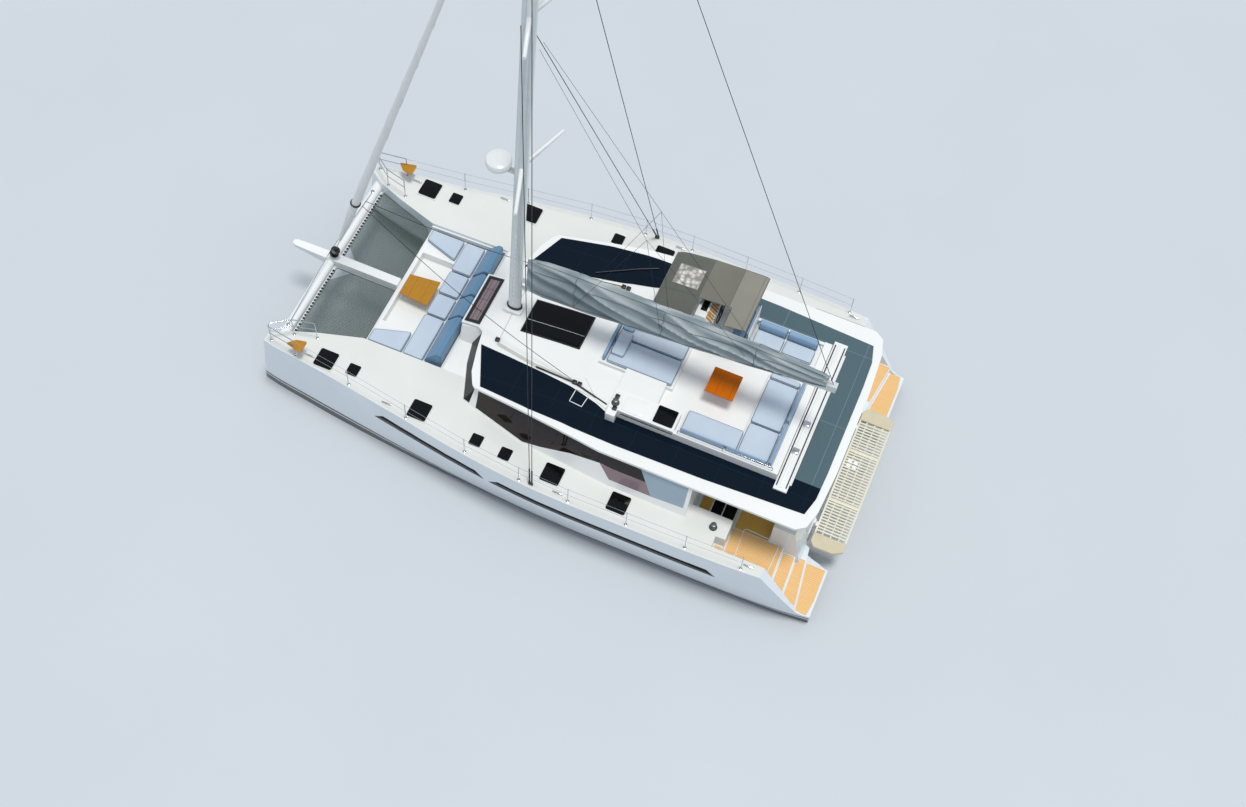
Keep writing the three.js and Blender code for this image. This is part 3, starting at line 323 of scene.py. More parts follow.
seat_cloth = cloth_finish("acrylic_cloth_pale_blue", "C6D2DE", "B4C2D0", 0.6)
back_cloth = cloth_finish("acrylic_cloth_blue", "8DABC6", "7A9AB8", 0.5)
fore_back_cloth = cloth_finish("acrylic_cloth_deep_blue", "6690B0", "547E9E", 0.5)
piping_cloth = cloth_finish("piping_cloth_slate", "3F6680", "34586F", 0.3)
canopy_cloth = cloth_finish("canvas_warm_grey", "62645B", "52544C", 0.7)
canopy_faded = cloth_finish("canvas_faded_grey", "7A786C", "68675D", 0.7)
canopy_light = cloth_finish("canvas_light_grey", "949084", "817E73", 0.7)
cover_cloth = cloth_finish("sail_cover_grey", "C8CECD", "9AA5A9", 0.40, sheen=0.05)
cover_seam = cloth_finish("sail_cover_seam", "5F696C", "50595C", 0.3)
furled_cloth = cloth_finish("sailcloth_white", "F3F3EF", "E2E3E0", 0.5, 0.02, 0.0)
net_cord = cloth_finish("net_cord_grey_green", "5C6E64", "4D5E55", 0.4, 0.012, 0.0)
print("cloth woven")

# %% [markdown]
# Metals: the spars are anodised aluminium, with a soft grain. Rails are polished stainless
# steel, winches are grey alloy and the propellers are bronze. Rope and small fittings are dark.

# %% Metal, rope and plastic
anodised = patina("aluminium_anodised", "DDE3E2", "CBD3D2", 0.3, 0.02, 0.0003, 0.38, 0.15)
painted_alloy = patina("aluminium_painted_white", "F1F2F0", "E4E6E5", 0.6, 0.05, 0.0003, 0.28)
stainless = patina("stainless_polished", "D5D9DC", "BCC2C6", 0.15, 0.02, 0.0001, 0.14, 1.0)
bronze = patina("bronze_cast", "B08A52", "8C6A3B", 0.08, 0.01, 0.0004, 0.35, 1.0)
winch_alloy = patina("aluminium_anodised_grey", "6E7474", "565C5D", 0.08, 0.02, 0.0003, 0.35, 0.6)
black_plastic = patina("acetal_black", "131416", "1E2023", 0.1, 0.01, 0.0003, 0.4)
dark_rope = cloth_finish("rope_black_braid", "1C1E21", "101113", 0.1, 0.006, 0.0)
pale_rope = cloth_finish("rope_white_braid", "DEDBD0", "C6C2B4", 0.1, 0.006, 0.0)
platform_deck = cloth_finish("decking_sand_moulded", "D8CFB4", "C6BC9E", 0.3, 0.012, 0.0)
platform_slat = patina("slat_cream_extruded", "E8E4D2", "D8D3BE", 0.3, 0.02, 0.0004, 0.45)
underbody = patina("antifouling_dark", "1C242D", "141A21", 0.4, 0.03, 0.0006, 0.7)
print(len(bpy.data.materials), "finishes")

# %% [markdown]
# Pieces are built with bmesh. A closing helper turns the faces outwards, smooths the shading
# except at real corners, and puts the piece on its body. The mesh holds the place and the
# object stays at the origin, as a CAD node's does.

# %% Making a piece
BODY_OF = {node: body for body, nodes in frame["record"]["behaviour"]["bodies"].items() for node in nodes}
made = {}


def finish_piece(bm, name, finishes, body="boat", corner=35, outward=True):
    """The bmesh as a shown piece that rides on a body."""
    if outward:
        bmesh.ops.recalc_face_normals(bm, faces=bm.faces)
    mesh = bpy.data.meshes.new(name)
    bm.to_mesh(mesh)
    bm.free()
    for finish in finishes if isinstance(finishes, list) else [finishes]:
        mesh.materials.append(finish)
    mesh.shade_smooth()
    mesh.set_sharp_from_angle(angle=math.radians(corner))
    piece = bpy.data.objects.new(name, mesh)
    bpy.context.scene.collection.objects.link(piece)
    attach(piece, body)
    made[name] = piece
    return piece


def bevel(bm, edges, width, segments=2):
    """Rounds these edges."""
    bmesh.ops.bevel(bm, geom=list(edges), offset=width, offset_type="OFFSET", affect="EDGES",
                    segments=segments, profile=0.5, material=-1, clamp_overlap=True)

# %% [markdown]
# Most rigid solids already have the right shape, but their corners are razor sharp. A copy of
# the CAD mesh is merged, its flat triangles become whole faces, and a Bevel modifier rounds
# every real edge, which is what catches the light on moulded and welded work.

# %% Dressing a CAD solid
def merged_copy(node, flat=0.7):
    """The CAD solid's mesh, merged, with its flat faces whole and convex."""
    bm = bmesh.new()
    bm.from_mesh(frame["nodes"][node].data)
    bmesh.ops.remove_doubles(bm, verts=bm.verts, dist=0.0001)
    bmesh.ops.dissolve_limit(bm, angle_limit=math.radians(flat), verts=bm.verts, edges=bm.edges,
                             use_dissolve_boundaries=False)
    bmesh.ops.connect_verts_concave(bm, faces=bm.faces)
    return bm


def dress(node, finish, edge=0.008, segments=2, corner=35, paint=None, flat=0.7):
    """A soft-edged copy that stands for a CAD solid. Paint may pick a second finish by face."""
    bm = merged_copy(node, flat)
    if paint:
        for face in bm.faces:
            face.material_index = paint(face)
    piece = finish_piece(bm, f"{node}_finished", finish, BODY_OF[node], corner)
    if edge:
        rounding = piece.modifiers.new("soft_edges", "BEVEL")
        rounding.width = edge
        rounding.segments = segments
        rounding.limit_method = "ANGLE"
        rounding.angle_limit = math.radians(corner)
        rounding.use_clamp_overlap = True
        rounding.harden_normals = True
    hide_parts(node)


# %% [markdown]
# Fittings are made from a few basic shapes: a block with rounded edges, a plate cut to an
# outline, and a turned part spun from a profile as on a lathe. Larger surfaces are cut by
# planes, and a flat grid is the start of a cloth.

# %% Basic shapes
def add_block(bm, low, high, edge=0.006, segments=2):
    """A box from corner to corner with rounded edges."""
    size = [b - a for a, b in zip(low, high)]
    centre = [(a + b) / 2 for a, b in zip(low, high)]
    place = Matrix.Translation(centre) @ Matrix.Diagonal((*size, 1.0))
    verts = bmesh.ops.create_cube(bm, size=1.0, matrix=place)["verts"]
    if edge:
        bevel(bm, {e for v in verts for e in v.link_edges}, edge, segments)


def add_plate(bm, outline, low, high, corner=0.0, edge=0.0):
    """A plate from an outline in x and y, with rounded corners and then rounded rims."""
    face = bm.faces.new([bm.verts.new((x, y, low)) for x, y in outline])
    risen = bmesh.ops.extrude_face_region(bm, geom=[face])["geom"]
    tops = [v for v in risen if isinstance(v, bmesh.types.BMVert)]
    bmesh.ops.translate(bm, vec=(0, 0, high - low), verts=tops)
    island = {f for v in tops for f in v.link_faces} | {face}
    if corner:
        posts = {e for f in island for e in f.edges if abs(e.verts[0].co.z - e.verts[1].co.z) > 1e-6}
        bevel(bm, posts, corner, 4)
        island = {f for v in tops if v.is_valid for f in v.link_faces} or set(bm.faces)
    if edge:
        rim = {e for f in bm.faces for e in f.edges
               if e.is_manifold and e.calc_face_angle(0) > 1.0
               and all(abs(v.co.z - high) < 1e-6 for v in e.verts)}
        bevel(bm, rim, edge, 2)


def add_turned(bm, profile, centre, steps=24):
    """A turned part: radius and height pairs spun round the upright through the centre."""
    before = set(bm.verts)
    verts = [bm.verts.new((r, 0.0, h)) for r, h in profile]
    edges = [bm.edges.new(pair) for pair in zip(verts, verts[1:])]
    bmesh.ops.spin(bm, geom=verts + edges, cent=(0, 0, 0), axis=(0, 0, 1), angle=2 * math.pi, steps=steps,
                   use_merge=True)
    fresh = [v for v in bm.verts if v not in before]
    bmesh.ops.remove_doubles(bm, verts=fresh, dist=0.00005)
    fresh = [v for v in bm.verts if v not in before]
    bmesh.ops.transform(bm, matrix=Matrix.Translation(centre), verts=fresh)


def add_grid(bm, low, high, steps_x, steps_y):
    """A flat grid from corner to corner."""
    middle = [(a + b) / 2 for a, b in zip(low, high)]
    place = Matrix.Translation((*middle, 0)) @ Matrix.Diagonal((high[0] - low[0], high[1] - low[1], 1, 1))
    bmesh.ops.create_grid(bm, x_segments=steps_x, y_segments=steps_y, size=0.5, matrix=place)


def add_whole(bm, single):
    """Adds all of a second bmesh and frees it."""
    mesh = bpy.data.meshes.new("part")
    single.to_mesh(mesh)
    single.free()
    bm.from_mesh(mesh)
    bpy.data.meshes.remove(mesh)


def cut(bm, point, normal, clear=False):
    """Cuts everything along a plane, and may clear what lies on the side of its normal."""
    bmesh.ops.bisect_plane(bm, geom=bm.verts[:] + bm.edges[:] + bm.faces[:], plane_co=point,
                           plane_no=normal, clear_outer=clear)


def oblong(x0, x1, y0, y1):
    """The outline of an oblong."""
    return [(x0, y0), (x1, y0), (x1, y1), (x0, y1)]


def block_piece(name, corners, edge, finish, body="boat", segments=2):
    """Blocks with rounded edges as one piece: each comes as its low and its high corner."""
    bm = bmesh.new()
    for low, high in corners:
        add_block(bm, low, high, edge, segments)
    return finish_piece(bm, name, finish, body)


print("basic shapes ready")

# %% [markdown]
# Rails, wire and rope are tubes along a path. Each is a curve with a round bevel, and its
# corners are bent to a radius as a pipe bender would. What lies on a curved surface starts as
# a path of even steps in plan, which is then given its heights.

# %% Tubes and paths
def plan_path(points, step):
    """Even steps in plan through these points."""
    path = []
    for a, b in zip(points, points[1:]):
        count = max(1, round(math.dist(a, b) / step))
        path += [(a[0] + (b[0] - a[0]) * k / count, a[1] + (b[1] - a[1]) * k / count) for k in range(count)]
    return path + [points[-1]]


def bend(points, radius, steps=5):
    """The path with its corners rounded to a radius."""
    path = [Vector(p) for p in points]
    smooth = [path[0]]
    for before, here, after in zip(path, path[1:], path[2:]):
        reach = min(radius, (before - here).length * 0.45, (after - here).length * 0.45)
        start = here + (before - here).normalized() * reach
        end = here + (after - here).normalized() * reach
        for k in range(steps + 1):
            t = k / steps
            smooth.append(start.lerp(here, t).lerp(here.lerp(end, t), t))
    return smooth + [path[-1]]


def tube(name, paths, radius, finish, body="boat", corner=0.0, closed=False, sides=3):
    """Round tubes, rods or ropes along paths, as one piece."""
    curve = bpy.data.curves.new(name, "CURVE")
    curve.dimensions = "3D"
    curve.bevel_depth = radius
    curve.bevel_resolution = sides
    curve.use_fill_caps = True
    for points in paths:
        path = bend(points, corner) if corner else [Vector(p) for p in points]
        spline = curve.splines.new("POLY")
        spline.points.add(len(path) - 1)
        for curve_point, p in zip(spline.points, path):
            curve_point.co = (*p, 1.0)
        spline.use_cyclic_u = closed
        spline.use_smooth = True
    curve.materials.append(finish)
    piece = bpy.data.objects.new(name, curve)
    bpy.context.scene.collection.objects.link(piece)
    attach(piece, body)
    return piece


print("tubes ready")

# %% [markdown]
# The hulls are one moulding each. Faces are sorted by where they lie: upward faces of the side
# deck are non-skid gelcoat, the treads of the stern are the same moulding under the teak, and
# all the rest is topside gelcoat with the waterline's stripes.

# %% Hulls
DECK_LEVEL = 1.95


def hull_paint(face):
    """Non-skid on the deck, striped gelcoat elsewhere."""
    return 1 if face.normal.z > 0.95 and face.calc_center_median().z > DECK_LEVEL else 0


for side in ("port", "starboard"):
    dress(f"hull_{side}", [topside, nonskid], 0.022, 3, 28, paint=hull_paint)
print("hulls dressed")

# %% [markdown]
# Long windows run along each topside as black strips that follow the hull. The surest way to
# fit them is to cut them out of the hull itself: a copy is sliced by planes above, below, ahead
# and astern, only the outward faces stay, and Solidify lifts them 5 mm off the gelcoat.

# %% Long side windows cut from the hull's own skin
# Aft x, forward x, the lower edge's z aft and forward, height
SIDE_WINDOWS = {"forward": (1.08, 4.25, 1.16, 1.30, 0.25), "aft": (-5.05, 0.94, 1.10, 1.15, 0.25)}
FORWARD_SLANT, AFT_SLANT = 1.1, 0.88
# How far out the cut is, how far outwards a face has to look, the lift off the gelcoat
SKIN_FROM_Y, FACES_OUT, PANE_LIFT = 2.6, 0.3, 0.005


def skin_strip(side, label, aft, forward, low_aft, low_forward, tall):
    """A strip of the hull's outer skin between slanted ends."""
    sign = 1 if side == "port" else -1
    bm = merged_copy(f"hull_{side}")
    rise = (low_forward - low_aft) / (forward - aft)
    planes = [
        (Vector((aft, 0, low_aft)), Vector((rise, 0, -1))),
        (Vector((aft, 0, low_aft + tall)), Vector((-rise, 0, 1))),
        (Vector((forward, 0, low_forward)), Vector((1, 0, FORWARD_SLANT))),
        (Vector((aft, 0, low_aft)), Vector((-1, 0, AFT_SLANT))),
        (Vector((0, sign * SKIN_FROM_Y, 0)), Vector((0, -sign, 0))),
    ]
    for point, normal in planes:
        cut(bm, point, normal, clear=True)
    inward = [f for f in bm.faces if f.normal.y * sign < FACES_OUT]
    bmesh.ops.delete(bm, geom=inward, context="FACES")
    piece = finish_piece(bm, f"side_window_{label}_{side}", black_acrylic, outward=False)
    shell = piece.modifiers.new("pane_thickness", "SOLIDIFY")
    shell.thickness = PANE_LIFT
    shell.offset = 1.0


for side in ("port", "starboard"):
    for label, strip in SIDE_WINDOWS.items():
        skin_strip(side, label, *strip)
print("side windows fitted")

# %% [markdown]
# Deck hatches are black acrylic lids on low frames. The lid's four upright corners get a wide
# round and its rim a small one, as cast lids have. The small hatches don't open in this model,
# so they are pieces of the scene on the rims that the hulls carry.

# %% Hatches
LID_CORNER, LID_EDGE = 0.045, 0.006
SMALL_HATCHES = [(5.08, 2.90, 2.006), (5.08, -2.90, 2.006), (0.68, 3.49, 2.05), (0.68, -3.49, 2.05),
                 (1.47, 3.44, 2.05)]
# Half its length and width, thickness, corner and edge of a small lid, and the height of its rim
SMALL_X, SMALL_Y, SMALL_THICK, SMALL_CORNER, SMALL_EDGE = 0.15, 0.16, 0.018, 0.035, 0.005
RIM = 0.0253


def dress_lid(node):
    """A hatch lid with rounded corners, from the CAD lid's own box."""
    low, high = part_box(node)
    bm = bmesh.new()
    add_plate(bm, oblong(low[0], high[0], low[1], high[1]), low[2], high[2], LID_CORNER, LID_EDGE)
    piece = finish_piece(bm, f"{node}_lid", black_acrylic, BODY_OF[node])
    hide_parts(node)


for node in sorted(n for n in frame["nodes"] if n.startswith("hatch_")):
    dress_lid(node)
bm = bmesh.new()
for x, y, z in SMALL_HATCHES:
    lid = bmesh.new()
    add_plate(lid, oblong(x - SMALL_X, x + SMALL_X, y - SMALL_Y, y + SMALL_Y), z + RIM,
              z + RIM + SMALL_THICK, SMALL_CORNER, SMALL_EDGE)
    add_whole(bm, lid)
finish_piece(bm, "small_hatch_lids", black_acrylic)
print("hatches made")

# %% [markdown]
# The middle of the boat: bridgedeck, fore cockpit, cabin walls, roof and flybridge are gelcoat
# mouldings with generous radii, because a tight corner can't be laid up. The glass sits in the
# openings of the walls and keeps its own thickness.

# %% Mouldings and glass
# Node, finish, edge and how many steps round it
MOULDINGS = [
    ("bridgedeck", gelcoat, 0.02, 3),
    ("fore_cockpit", gelcoat, 0.014, 3),
    ("cabin_walls", gelcoat, 0.004, 2),
    ("hardtop", gelcoat, 0.02, 3),
    ("fly_moulding", gelcoat, 0.035, 3),
    ("helm_console", gelcoat, 0.03, 3),
    ("traveller_beam", painted_alloy, 0.012, 2),
    ("cockpit_bench", gelcoat, 0.03, 3),
    ("saloon_seat", interior_laminate, 0.02, 2),
    ("saloon_galley", interior_laminate, 0.02, 2),
    ("aft_bulkhead", dark_glass, 0.004, 2),
    ("saloon_door", dark_glass, 0.004, 2),
    ("windscreen", dark_glass, 0.003, 1),
    ("side_glass_port", tinted_glass, 0.003, 1),
    ("side_glass_starboard", tinted_glass, 0.003, 1),
    ("skylight", black_acrylic, 0.006, 2),
    ("front_window", screen_glass, 0.004, 2),
]
for node, finish, edge, steps in MOULDINGS:
    dress(node, finish, edge, steps)
print(len(MOULDINGS), "mouldings and panes dressed")

# %% [markdown]
# Each side glass has two thin covers: a fascia over its aft end, white gelcoat with painted
# shade, and a lighter pane along its foot. Both are slices of the glass itself, moved out
# along their normals, so that they follow its shape and hide what lies behind.

# %% Covers on the side glass
FASCIA_FOOT, FORWARD_OF_FASCIA = Vector((-2.97, 0, 2.25)), Vector((0.69, 0, -0.37))
PANE_TOP, PANE_FORWARD = Vector((0, 0, 2.60)), Vector((-1.60, 0, 2.60))
FASCIA_LIFT, PANE_OUT = 0.006, 0.0045


def over_glass(name, side, cuts, lift, finish):
    """A thin cover over the part of a side glass that stays behind all the cutting planes."""
    bm = merged_copy(f"side_glass_{side}")
    for place, normal in cuts:
        cut(bm, place, normal, clear=True)
    bmesh.ops.holes_fill(bm, edges=[e for e in bm.edges if e.is_boundary], sides=0)
    bm.normal_update()
    for vertex in bm.verts:
        vertex.co += vertex.normal * lift
    finish_piece(bm, f"{name}_{side}", finish)


pane_cuts = [(FASCIA_FOOT, -FORWARD_OF_FASCIA), (PANE_TOP, (0, 0, 1)), (PANE_FORWARD, (1, 0, 0))]
for side in ("port", "starboard"):
    # The fascia is white gelcoat with painted shade, as it lies in the shade under the roof
    over_glass("cabin_fascia", side, [(FASCIA_FOOT, FORWARD_OF_FASCIA)], FASCIA_LIFT, gelcoat_painted_shade)
    over_glass("lower_pane", side, pane_cuts, PANE_OUT, screen_glass)
print("side glass covered")

# %% [markdown]
# The roof's panels are one CAD solid in two finishes. It is cut where the finish changes, and
# each face then takes the finish of the part that it lies in.

# %% Roof panels
SLATE_FROM_X, SLATE_SIDE_X, SLATE_PORT_Y = -6.0, -2.95, 1.75


def panel_paint(face):
    """Slate across the stern and down the starboard side, navy elsewhere."""
    middle = face.calc_center_median()
    at_stern = middle.x < SLATE_FROM_X and middle.y < SLATE_PORT_Y
    return 1 if at_stern or (middle.x < SLATE_SIDE_X and middle.y < 0) else 0


bm = merged_copy("roof_panels")
for place, normal in (((SLATE_FROM_X, 0, 0), (1, 0, 0)), ((SLATE_SIDE_X, 0, 0), (1, 0, 0)),
                      ((0, SLATE_PORT_Y, 0), (0, 1, 0)), ((0, 0, 0), (0, 1, 0))):
    cut(bm, place, normal)
for face in bm.faces:
    face.material_index = panel_paint(face)
panels = finish_piece(bm, "roof_panel_sheets", [solar_panel, slate_panel])
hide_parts("roof_panels")
print("roof panels laid")

# %% [markdown]
# Underwater gear and spars keep their CAD shapes with rounded edges. The mast is bare metal and
# its spreaders are painted, so its faces are sorted by how far out they lie.

# %% Spars, drives and wood
MAST_HALF = 0.14


def mast_paint(face):
    """White spreaders on a bare mast."""
    return 1 if abs(face.calc_center_median().y) > MAST_HALF else 0


for side in ("port", "starboard"):
    dress(f"saildrive_{side}", underbody, 0.012)
    dress(f"rudder_{side}", underbody, 0.02, 3)
    dress(f"propeller_{side}", bronze, 0.004)
dress("mast", [anodised, painted_alloy], 0.0, 1, 30, paint=mast_paint, flat=0.05)
dress("boom", anodised, 0.03, 3)
dress("crossbeam", painted_alloy, 0.004, 1, 40)
dress("bowsprit", gelcoat, 0.02, 3)
dress("fore_table", dark_varnish, 0.012, 2)
dress("fly_table", varnished_wood, 0.012, 2)
# The cockpit table takes the teak with painted shade, as it stands in the shade under the roof
dress("cockpit_table", teak_painted_shade, 0.012, 2)
dress("steering_wheel", black_plastic, 0.0)
print("spars and wood dressed")

# %% [markdown]
# The trampolines are woven nets, laced to the crossbeam and the hulls. A grid turned by 45
# degrees is cut to the net's outline with planes, and one wireframe step turns every grid edge
# into a cord. The mesh is drawn at 30 mm with 15 mm cord, coarser than real netting, so that it
# shows as a net and light still passes through it.

# %% Trampoline nets
NET_Z = 1.655
NET_PITCH = 0.030
NET_CORD = 0.015
NET_SAG = 0.02
NET_GRID = 3.2
NET_HEM = 0.013
NET_AFT_X, NET_FORWARD_X, NET_INNER_Y = 5.35, 7.02, 0.155
NET_OUTER_AFT_Y, NET_OUTER_FORWARD_Y, NET_ROUND = 1.92, 2.50, 0.30


def net_outline(sign):
    """The outline of a net, counter-clockwise seen from above, with its rounded corner."""
    edge = bend([(NET_AFT_X, NET_INNER_Y, 0), (NET_AFT_X, NET_OUTER_AFT_Y, 0),
                 (NET_FORWARD_X, NET_OUTER_FORWARD_Y, 0)], NET_ROUND, 6)
    ring = [Vector((NET_FORWARD_X, NET_INNER_Y, 0))] + edge
    ring = [Vector((p.x, sign * p.y, 0)) for p in ring]
    return ring[::-1] if sign > 0 else ring


def net_height(x, y):
    """The net's height: it hangs a little in the middle."""
    across = (abs(y) - NET_INNER_Y) / (NET_OUTER_AFT_Y - NET_INNER_Y)
    along = (x - NET_AFT_X) / (NET_FORWARD_X - NET_AFT_X)
    hang = math.sin(math.pi * min(max(across, 0), 1)) * math.sin(math.pi * min(max(along, 0), 1))
    return NET_Z - NET_SAG * hang


def make_net(side):
    """One net: a turned grid, cut to its outline and made into cords."""
    sign = 1 if side == "port" else -1
    ring = net_outline(sign)
    middle = sum(ring, Vector()) / len(ring)
    bm = bmesh.new()
    cells = round(NET_GRID / NET_PITCH)
    turn = Matrix.Translation(middle) @ Matrix.Rotation(math.radians(45), 4, "Z")
    bmesh.ops.create_grid(bm, x_segments=cells, y_segments=cells, size=NET_GRID / 2, matrix=turn)
    for a, b in zip(ring, ring[1:] + ring[:1]):
        cut(bm, a, (b - a).cross(Vector((0, 0, 1))), clear=True)
    area = sum(f.calc_area() for f in bm.faces)
    for vertex in bm.verts:
        vertex.co.z = net_height(vertex.co.x, vertex.co.y)
    bmesh.ops.wireframe(bm, faces=bm.faces, thickness=NET_CORD, use_replace=True, use_boundary=True)
    piece = finish_piece(bm, f"net_{side}", net_cord, outward=False)
    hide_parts(f"trampoline_{side}")
    hem = [Vector((p.x, p.y, net_height(p.x, p.y))) for p in ring]
    tube(f"net_hem_{side}", [hem], NET_HEM, net_cord, closed=True, sides=2)


for side in ("port", "starboard"):
    make_net(side)
print("nets made")

# %% [markdown]
# Lacing holds each net's forward edge to a track on the crossbeam. From the picture's distance
# each turn of black rope reads as a short dark block, so it is one: 60 mm fore and aft, 56 mm
# wide, one in every 100 mm.

# %% Lacing on the crossbeam
LACING_X, LACING_FROM_Y, LACING_PITCH, LACING_COUNT = 7.055, 0.28, 0.10, 22
LACING_HALF_X, LACING_HALF_Y, LACING_EDGE = 0.03, 0.028, 0.012
turns = []
for sign in (1, -1):
    for number in range(LACING_COUNT):
        y = sign * (LACING_FROM_Y + LACING_PITCH * number)
        turns.append(((LACING_X - LACING_HALF_X, y - LACING_HALF_Y, NET_Z + 0.004),
                      (LACING_X + LACING_HALF_X, y + LACING_HALF_Y, NET_Z + 0.030)))
block_piece("net_lacing", turns, LACING_EDGE, dark_rope)
tracks = [((7.065, low_y, NET_Z - 0.012), (7.13, high_y, NET_Z + 0.008))
          for low_y, high_y in ((0.16, 2.52), (-2.52, -0.16))]
block_piece("net_tracks", tracks, 0.006, painted_alloy)
print(len(turns), "turns of lacing")

# %% [markdown]
# The furled headsail is a long roll: sailcloth wound round its stay, fattest above the tack and
# slim at the head. A turned tube gives the roll, and its leech shows as a ridge that winds
# round it. Along the stay, t is 0 at its foot and 1 where it meets the mast.

# %% Furled headsail
STAY_FOOT = Vector((7.19, 0.0, 1.883))
STAY_HEAD = Vector((1.661, 0.0, 18.9))
ROLL = [(0.052, 0.034), (0.085, 0.075), (0.121, 0.108), (0.20, 0.112), (0.55, 0.082), (0.90, 0.036),
        (0.968, 0.016)]
ROLL_RINGS, ROLL_SIDES, LEECH_TURNS = 220, 20, 11
# The share by which the roll thins over a turn of cloth, the height and width of the leech's ridge
WINDING, RIDGE, RIDGE_WIDE = 0.10, 0.009, 0.06


def roll_radius(t):
    """The roll's radius at t, from its table."""
    for (t0, r0), (t1, r1) in zip(ROLL, ROLL[1:]):
        if t <= t1:
            return r0 + (r1 - r0) * (t - t0) / (t1 - t0)
    return ROLL[-1][1]


bm = bmesh.new()
bmesh.ops.create_grid(bm, x_segments=ROLL_RINGS, y_segments=ROLL_SIDES, size=0.5)
stay_way = (STAY_HEAD - STAY_FOOT).normalized()
side_way = Vector((0, 1, 0))
front_way = side_way.cross(stay_way)
for vertex in bm.verts:
    t = ROLL[0][0] + (vertex.co.x + 0.5) * (ROLL[-1][0] - ROLL[0][0])
    angle = (vertex.co.y + 0.5) * 2 * math.pi
    wound = (angle / (2 * math.pi) + LEECH_TURNS * (vertex.co.x + 0.5)) % 1.0
    ridge = RIDGE * max(0.0, 1.0 - abs(wound - RIDGE_WIDE) / RIDGE_WIDE)
    radius = roll_radius(t) * (1.0 - WINDING * wound) + ridge
    middle = STAY_FOOT.lerp(STAY_HEAD, t)
    vertex.co = middle + radius * (math.cos(angle) * front_way + math.sin(angle) * side_way)
bmesh.ops.remove_doubles(bm, verts=bm.verts, dist=0.0008)
bmesh.ops.holes_fill(bm, edges=[e for e in bm.edges if e.is_boundary], sides=0)
roll = finish_piece(bm, "headsail_roll", furled_cloth, corner=50)
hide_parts("furled_genoa")
print("headsail rolled with", LEECH_TURNS, "turns")

# %% [markdown]
# Under the sail the stay ends in a furling drum, a black spool between two flanges. A black
# band goes round the roll where the sail's clew lies. Both are turned upright and then tilted
# to lie along the stay.

# %% Furling drum, clew band and stay
DRUM_AT, CLEW_AT, STAY_END = 0.008, 0.163, 0.996
DRUM = [(0.0, 0.0), (0.118, 0.0), (0.122, 0.008), (0.118, 0.016), (0.066, 0.024), (0.066, 0.170),
        (0.118, 0.182), (0.122, 0.190), (0.118, 0.198), (0.05, 0.21), (0.035, 0.30), (0.0, 0.30)]
CLEW_BAND = [(0.0, 0.0), (0.128, 0.0), (0.135, 0.012), (0.128, 0.05), (0.11, 0.06), (0.0, 0.06)]
STAY_RADIUS = 0.011


def along_stay(t):
    """A point on the stay."""
    return STAY_FOOT.lerp(STAY_HEAD, t)


def turned_on_stay(name, profile, t):
    """A turned black part that lies along the stay."""
    bm = bmesh.new()
    add_turned(bm, profile, (0, 0, 0))
    tilt = stay_way.to_track_quat("Z", "Y").to_matrix().to_4x4()
    bmesh.ops.transform(bm, matrix=Matrix.Translation(along_stay(t)) @ tilt, verts=bm.verts)
    return finish_piece(bm, name, black_plastic)


drum = turned_on_stay("furling_drum", DRUM, DRUM_AT)
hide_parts("furled_genoa")
stay = tube("stay_rod", [[STAY_FOOT, along_stay(STAY_END)]], STAY_RADIUS, stainless)
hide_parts("furled_genoa")
turned_on_stay("clew_band", CLEW_BAND, CLEW_AT)
print("furling drum, stay and clew band made")

# %% [markdown]
# The stowed mainsail lies on the boom in its cover, a long bag of coated cloth that is tall at
# the mast and hangs down beside the boom. A grid is mapped onto it: one direction runs along the
# boom, the other up one side, over the top and down the other. Folds run down and aft from the
# mast end, and slow noise lets them wander and fade. At rest the boom stands 2.2 degrees to
# port, so every point is swung about the gooseneck.

# %% The shape of the sail cover
GOOSENECK = Vector((1.73, 0.0, 3.98))
BOOM_RISE = 0.152
BOOM_HALF = 0.11
TO_PORT = Matrix.Rotation(math.radians(-2.2), 4, "Z")
BOOM_SWING = Matrix.Translation(GOOSENECK) @ TO_PORT @ Matrix.Translation(-GOOSENECK)
# x, height over the boom, half width
COVER = [(1.68, 1.02, 0.06), (1.50, 1.06, 0.16), (1.20, 1.07, 0.22), (0.0, 0.97, 0.25), (-2.5, 0.70, 0.24),
         (-4.8, 0.40, 0.185), (-5.94, 0.23, 0.10)]
COVER_FOOT, COVER_LIFT = 0.10, 0.004
# Depth of a fold, folds for each unit of slant, how far they run aft, how much they wander
FOLD_DEEP, FOLD_RATE, FOLD_AFT, FOLD_WANDER = 0.085, 8.5, 0.26, 0.10


def boom_top(x):
    """The height of the boom's upper face."""
    return GOOSENECK.z + (GOOSENECK.x - x) * BOOM_RISE + BOOM_HALF


def cover_size(x):
    """The cover's height and half width at x, from its table."""
    for (x0, tall0, half0), (x1, tall1, half1) in zip(COVER, COVER[1:]):
        if x >= x1:
            part = (x0 - x) / (x0 - x1)
            return tall0 + (tall1 - tall0) * part, half0 + (half1 - half0) * part
    return COVER[-1][1:]


def cover_spot(x, around):
    """A point of the cover and its fold. Around is -1 at the port foot and 1 at the starboard one."""
    tall, half = cover_size(x)
    up = 1.0 - abs(around)
    side = 1 if around < 0 else -1
    out = half * (1 - up ** 3.2) ** 0.6 * (0.90 + 0.13 * math.sin(math.pi * up))
    rise = (tall + COVER_FOOT) * (1 - (1 - up) ** 1.35) - COVER_FOOT
    wander = noise.noise(Vector((x * 0.9 + 7 * side, up * 1.3, 2.0)))
    slant = up * 1.05 - FOLD_AFT * x + FOLD_WANDER * wander
    strength = 0.35 + 1.1 * abs(noise.noise(Vector((slant * 2.3, x * 0.35 + 3 * side, 5.0))))
    folds = FOLD_DEEP * (0.6 - abs(math.sin(FOLD_RATE * slant))) * strength + 0.03 * wander
    out += folds * min(1.0, 0.3 + 4 * up, 4 * (1 - up), half / 0.16)
    return BOOM_SWING @ Vector((x, side * max(out, 0.0), boom_top(x) + COVER_LIFT + rise)), folds


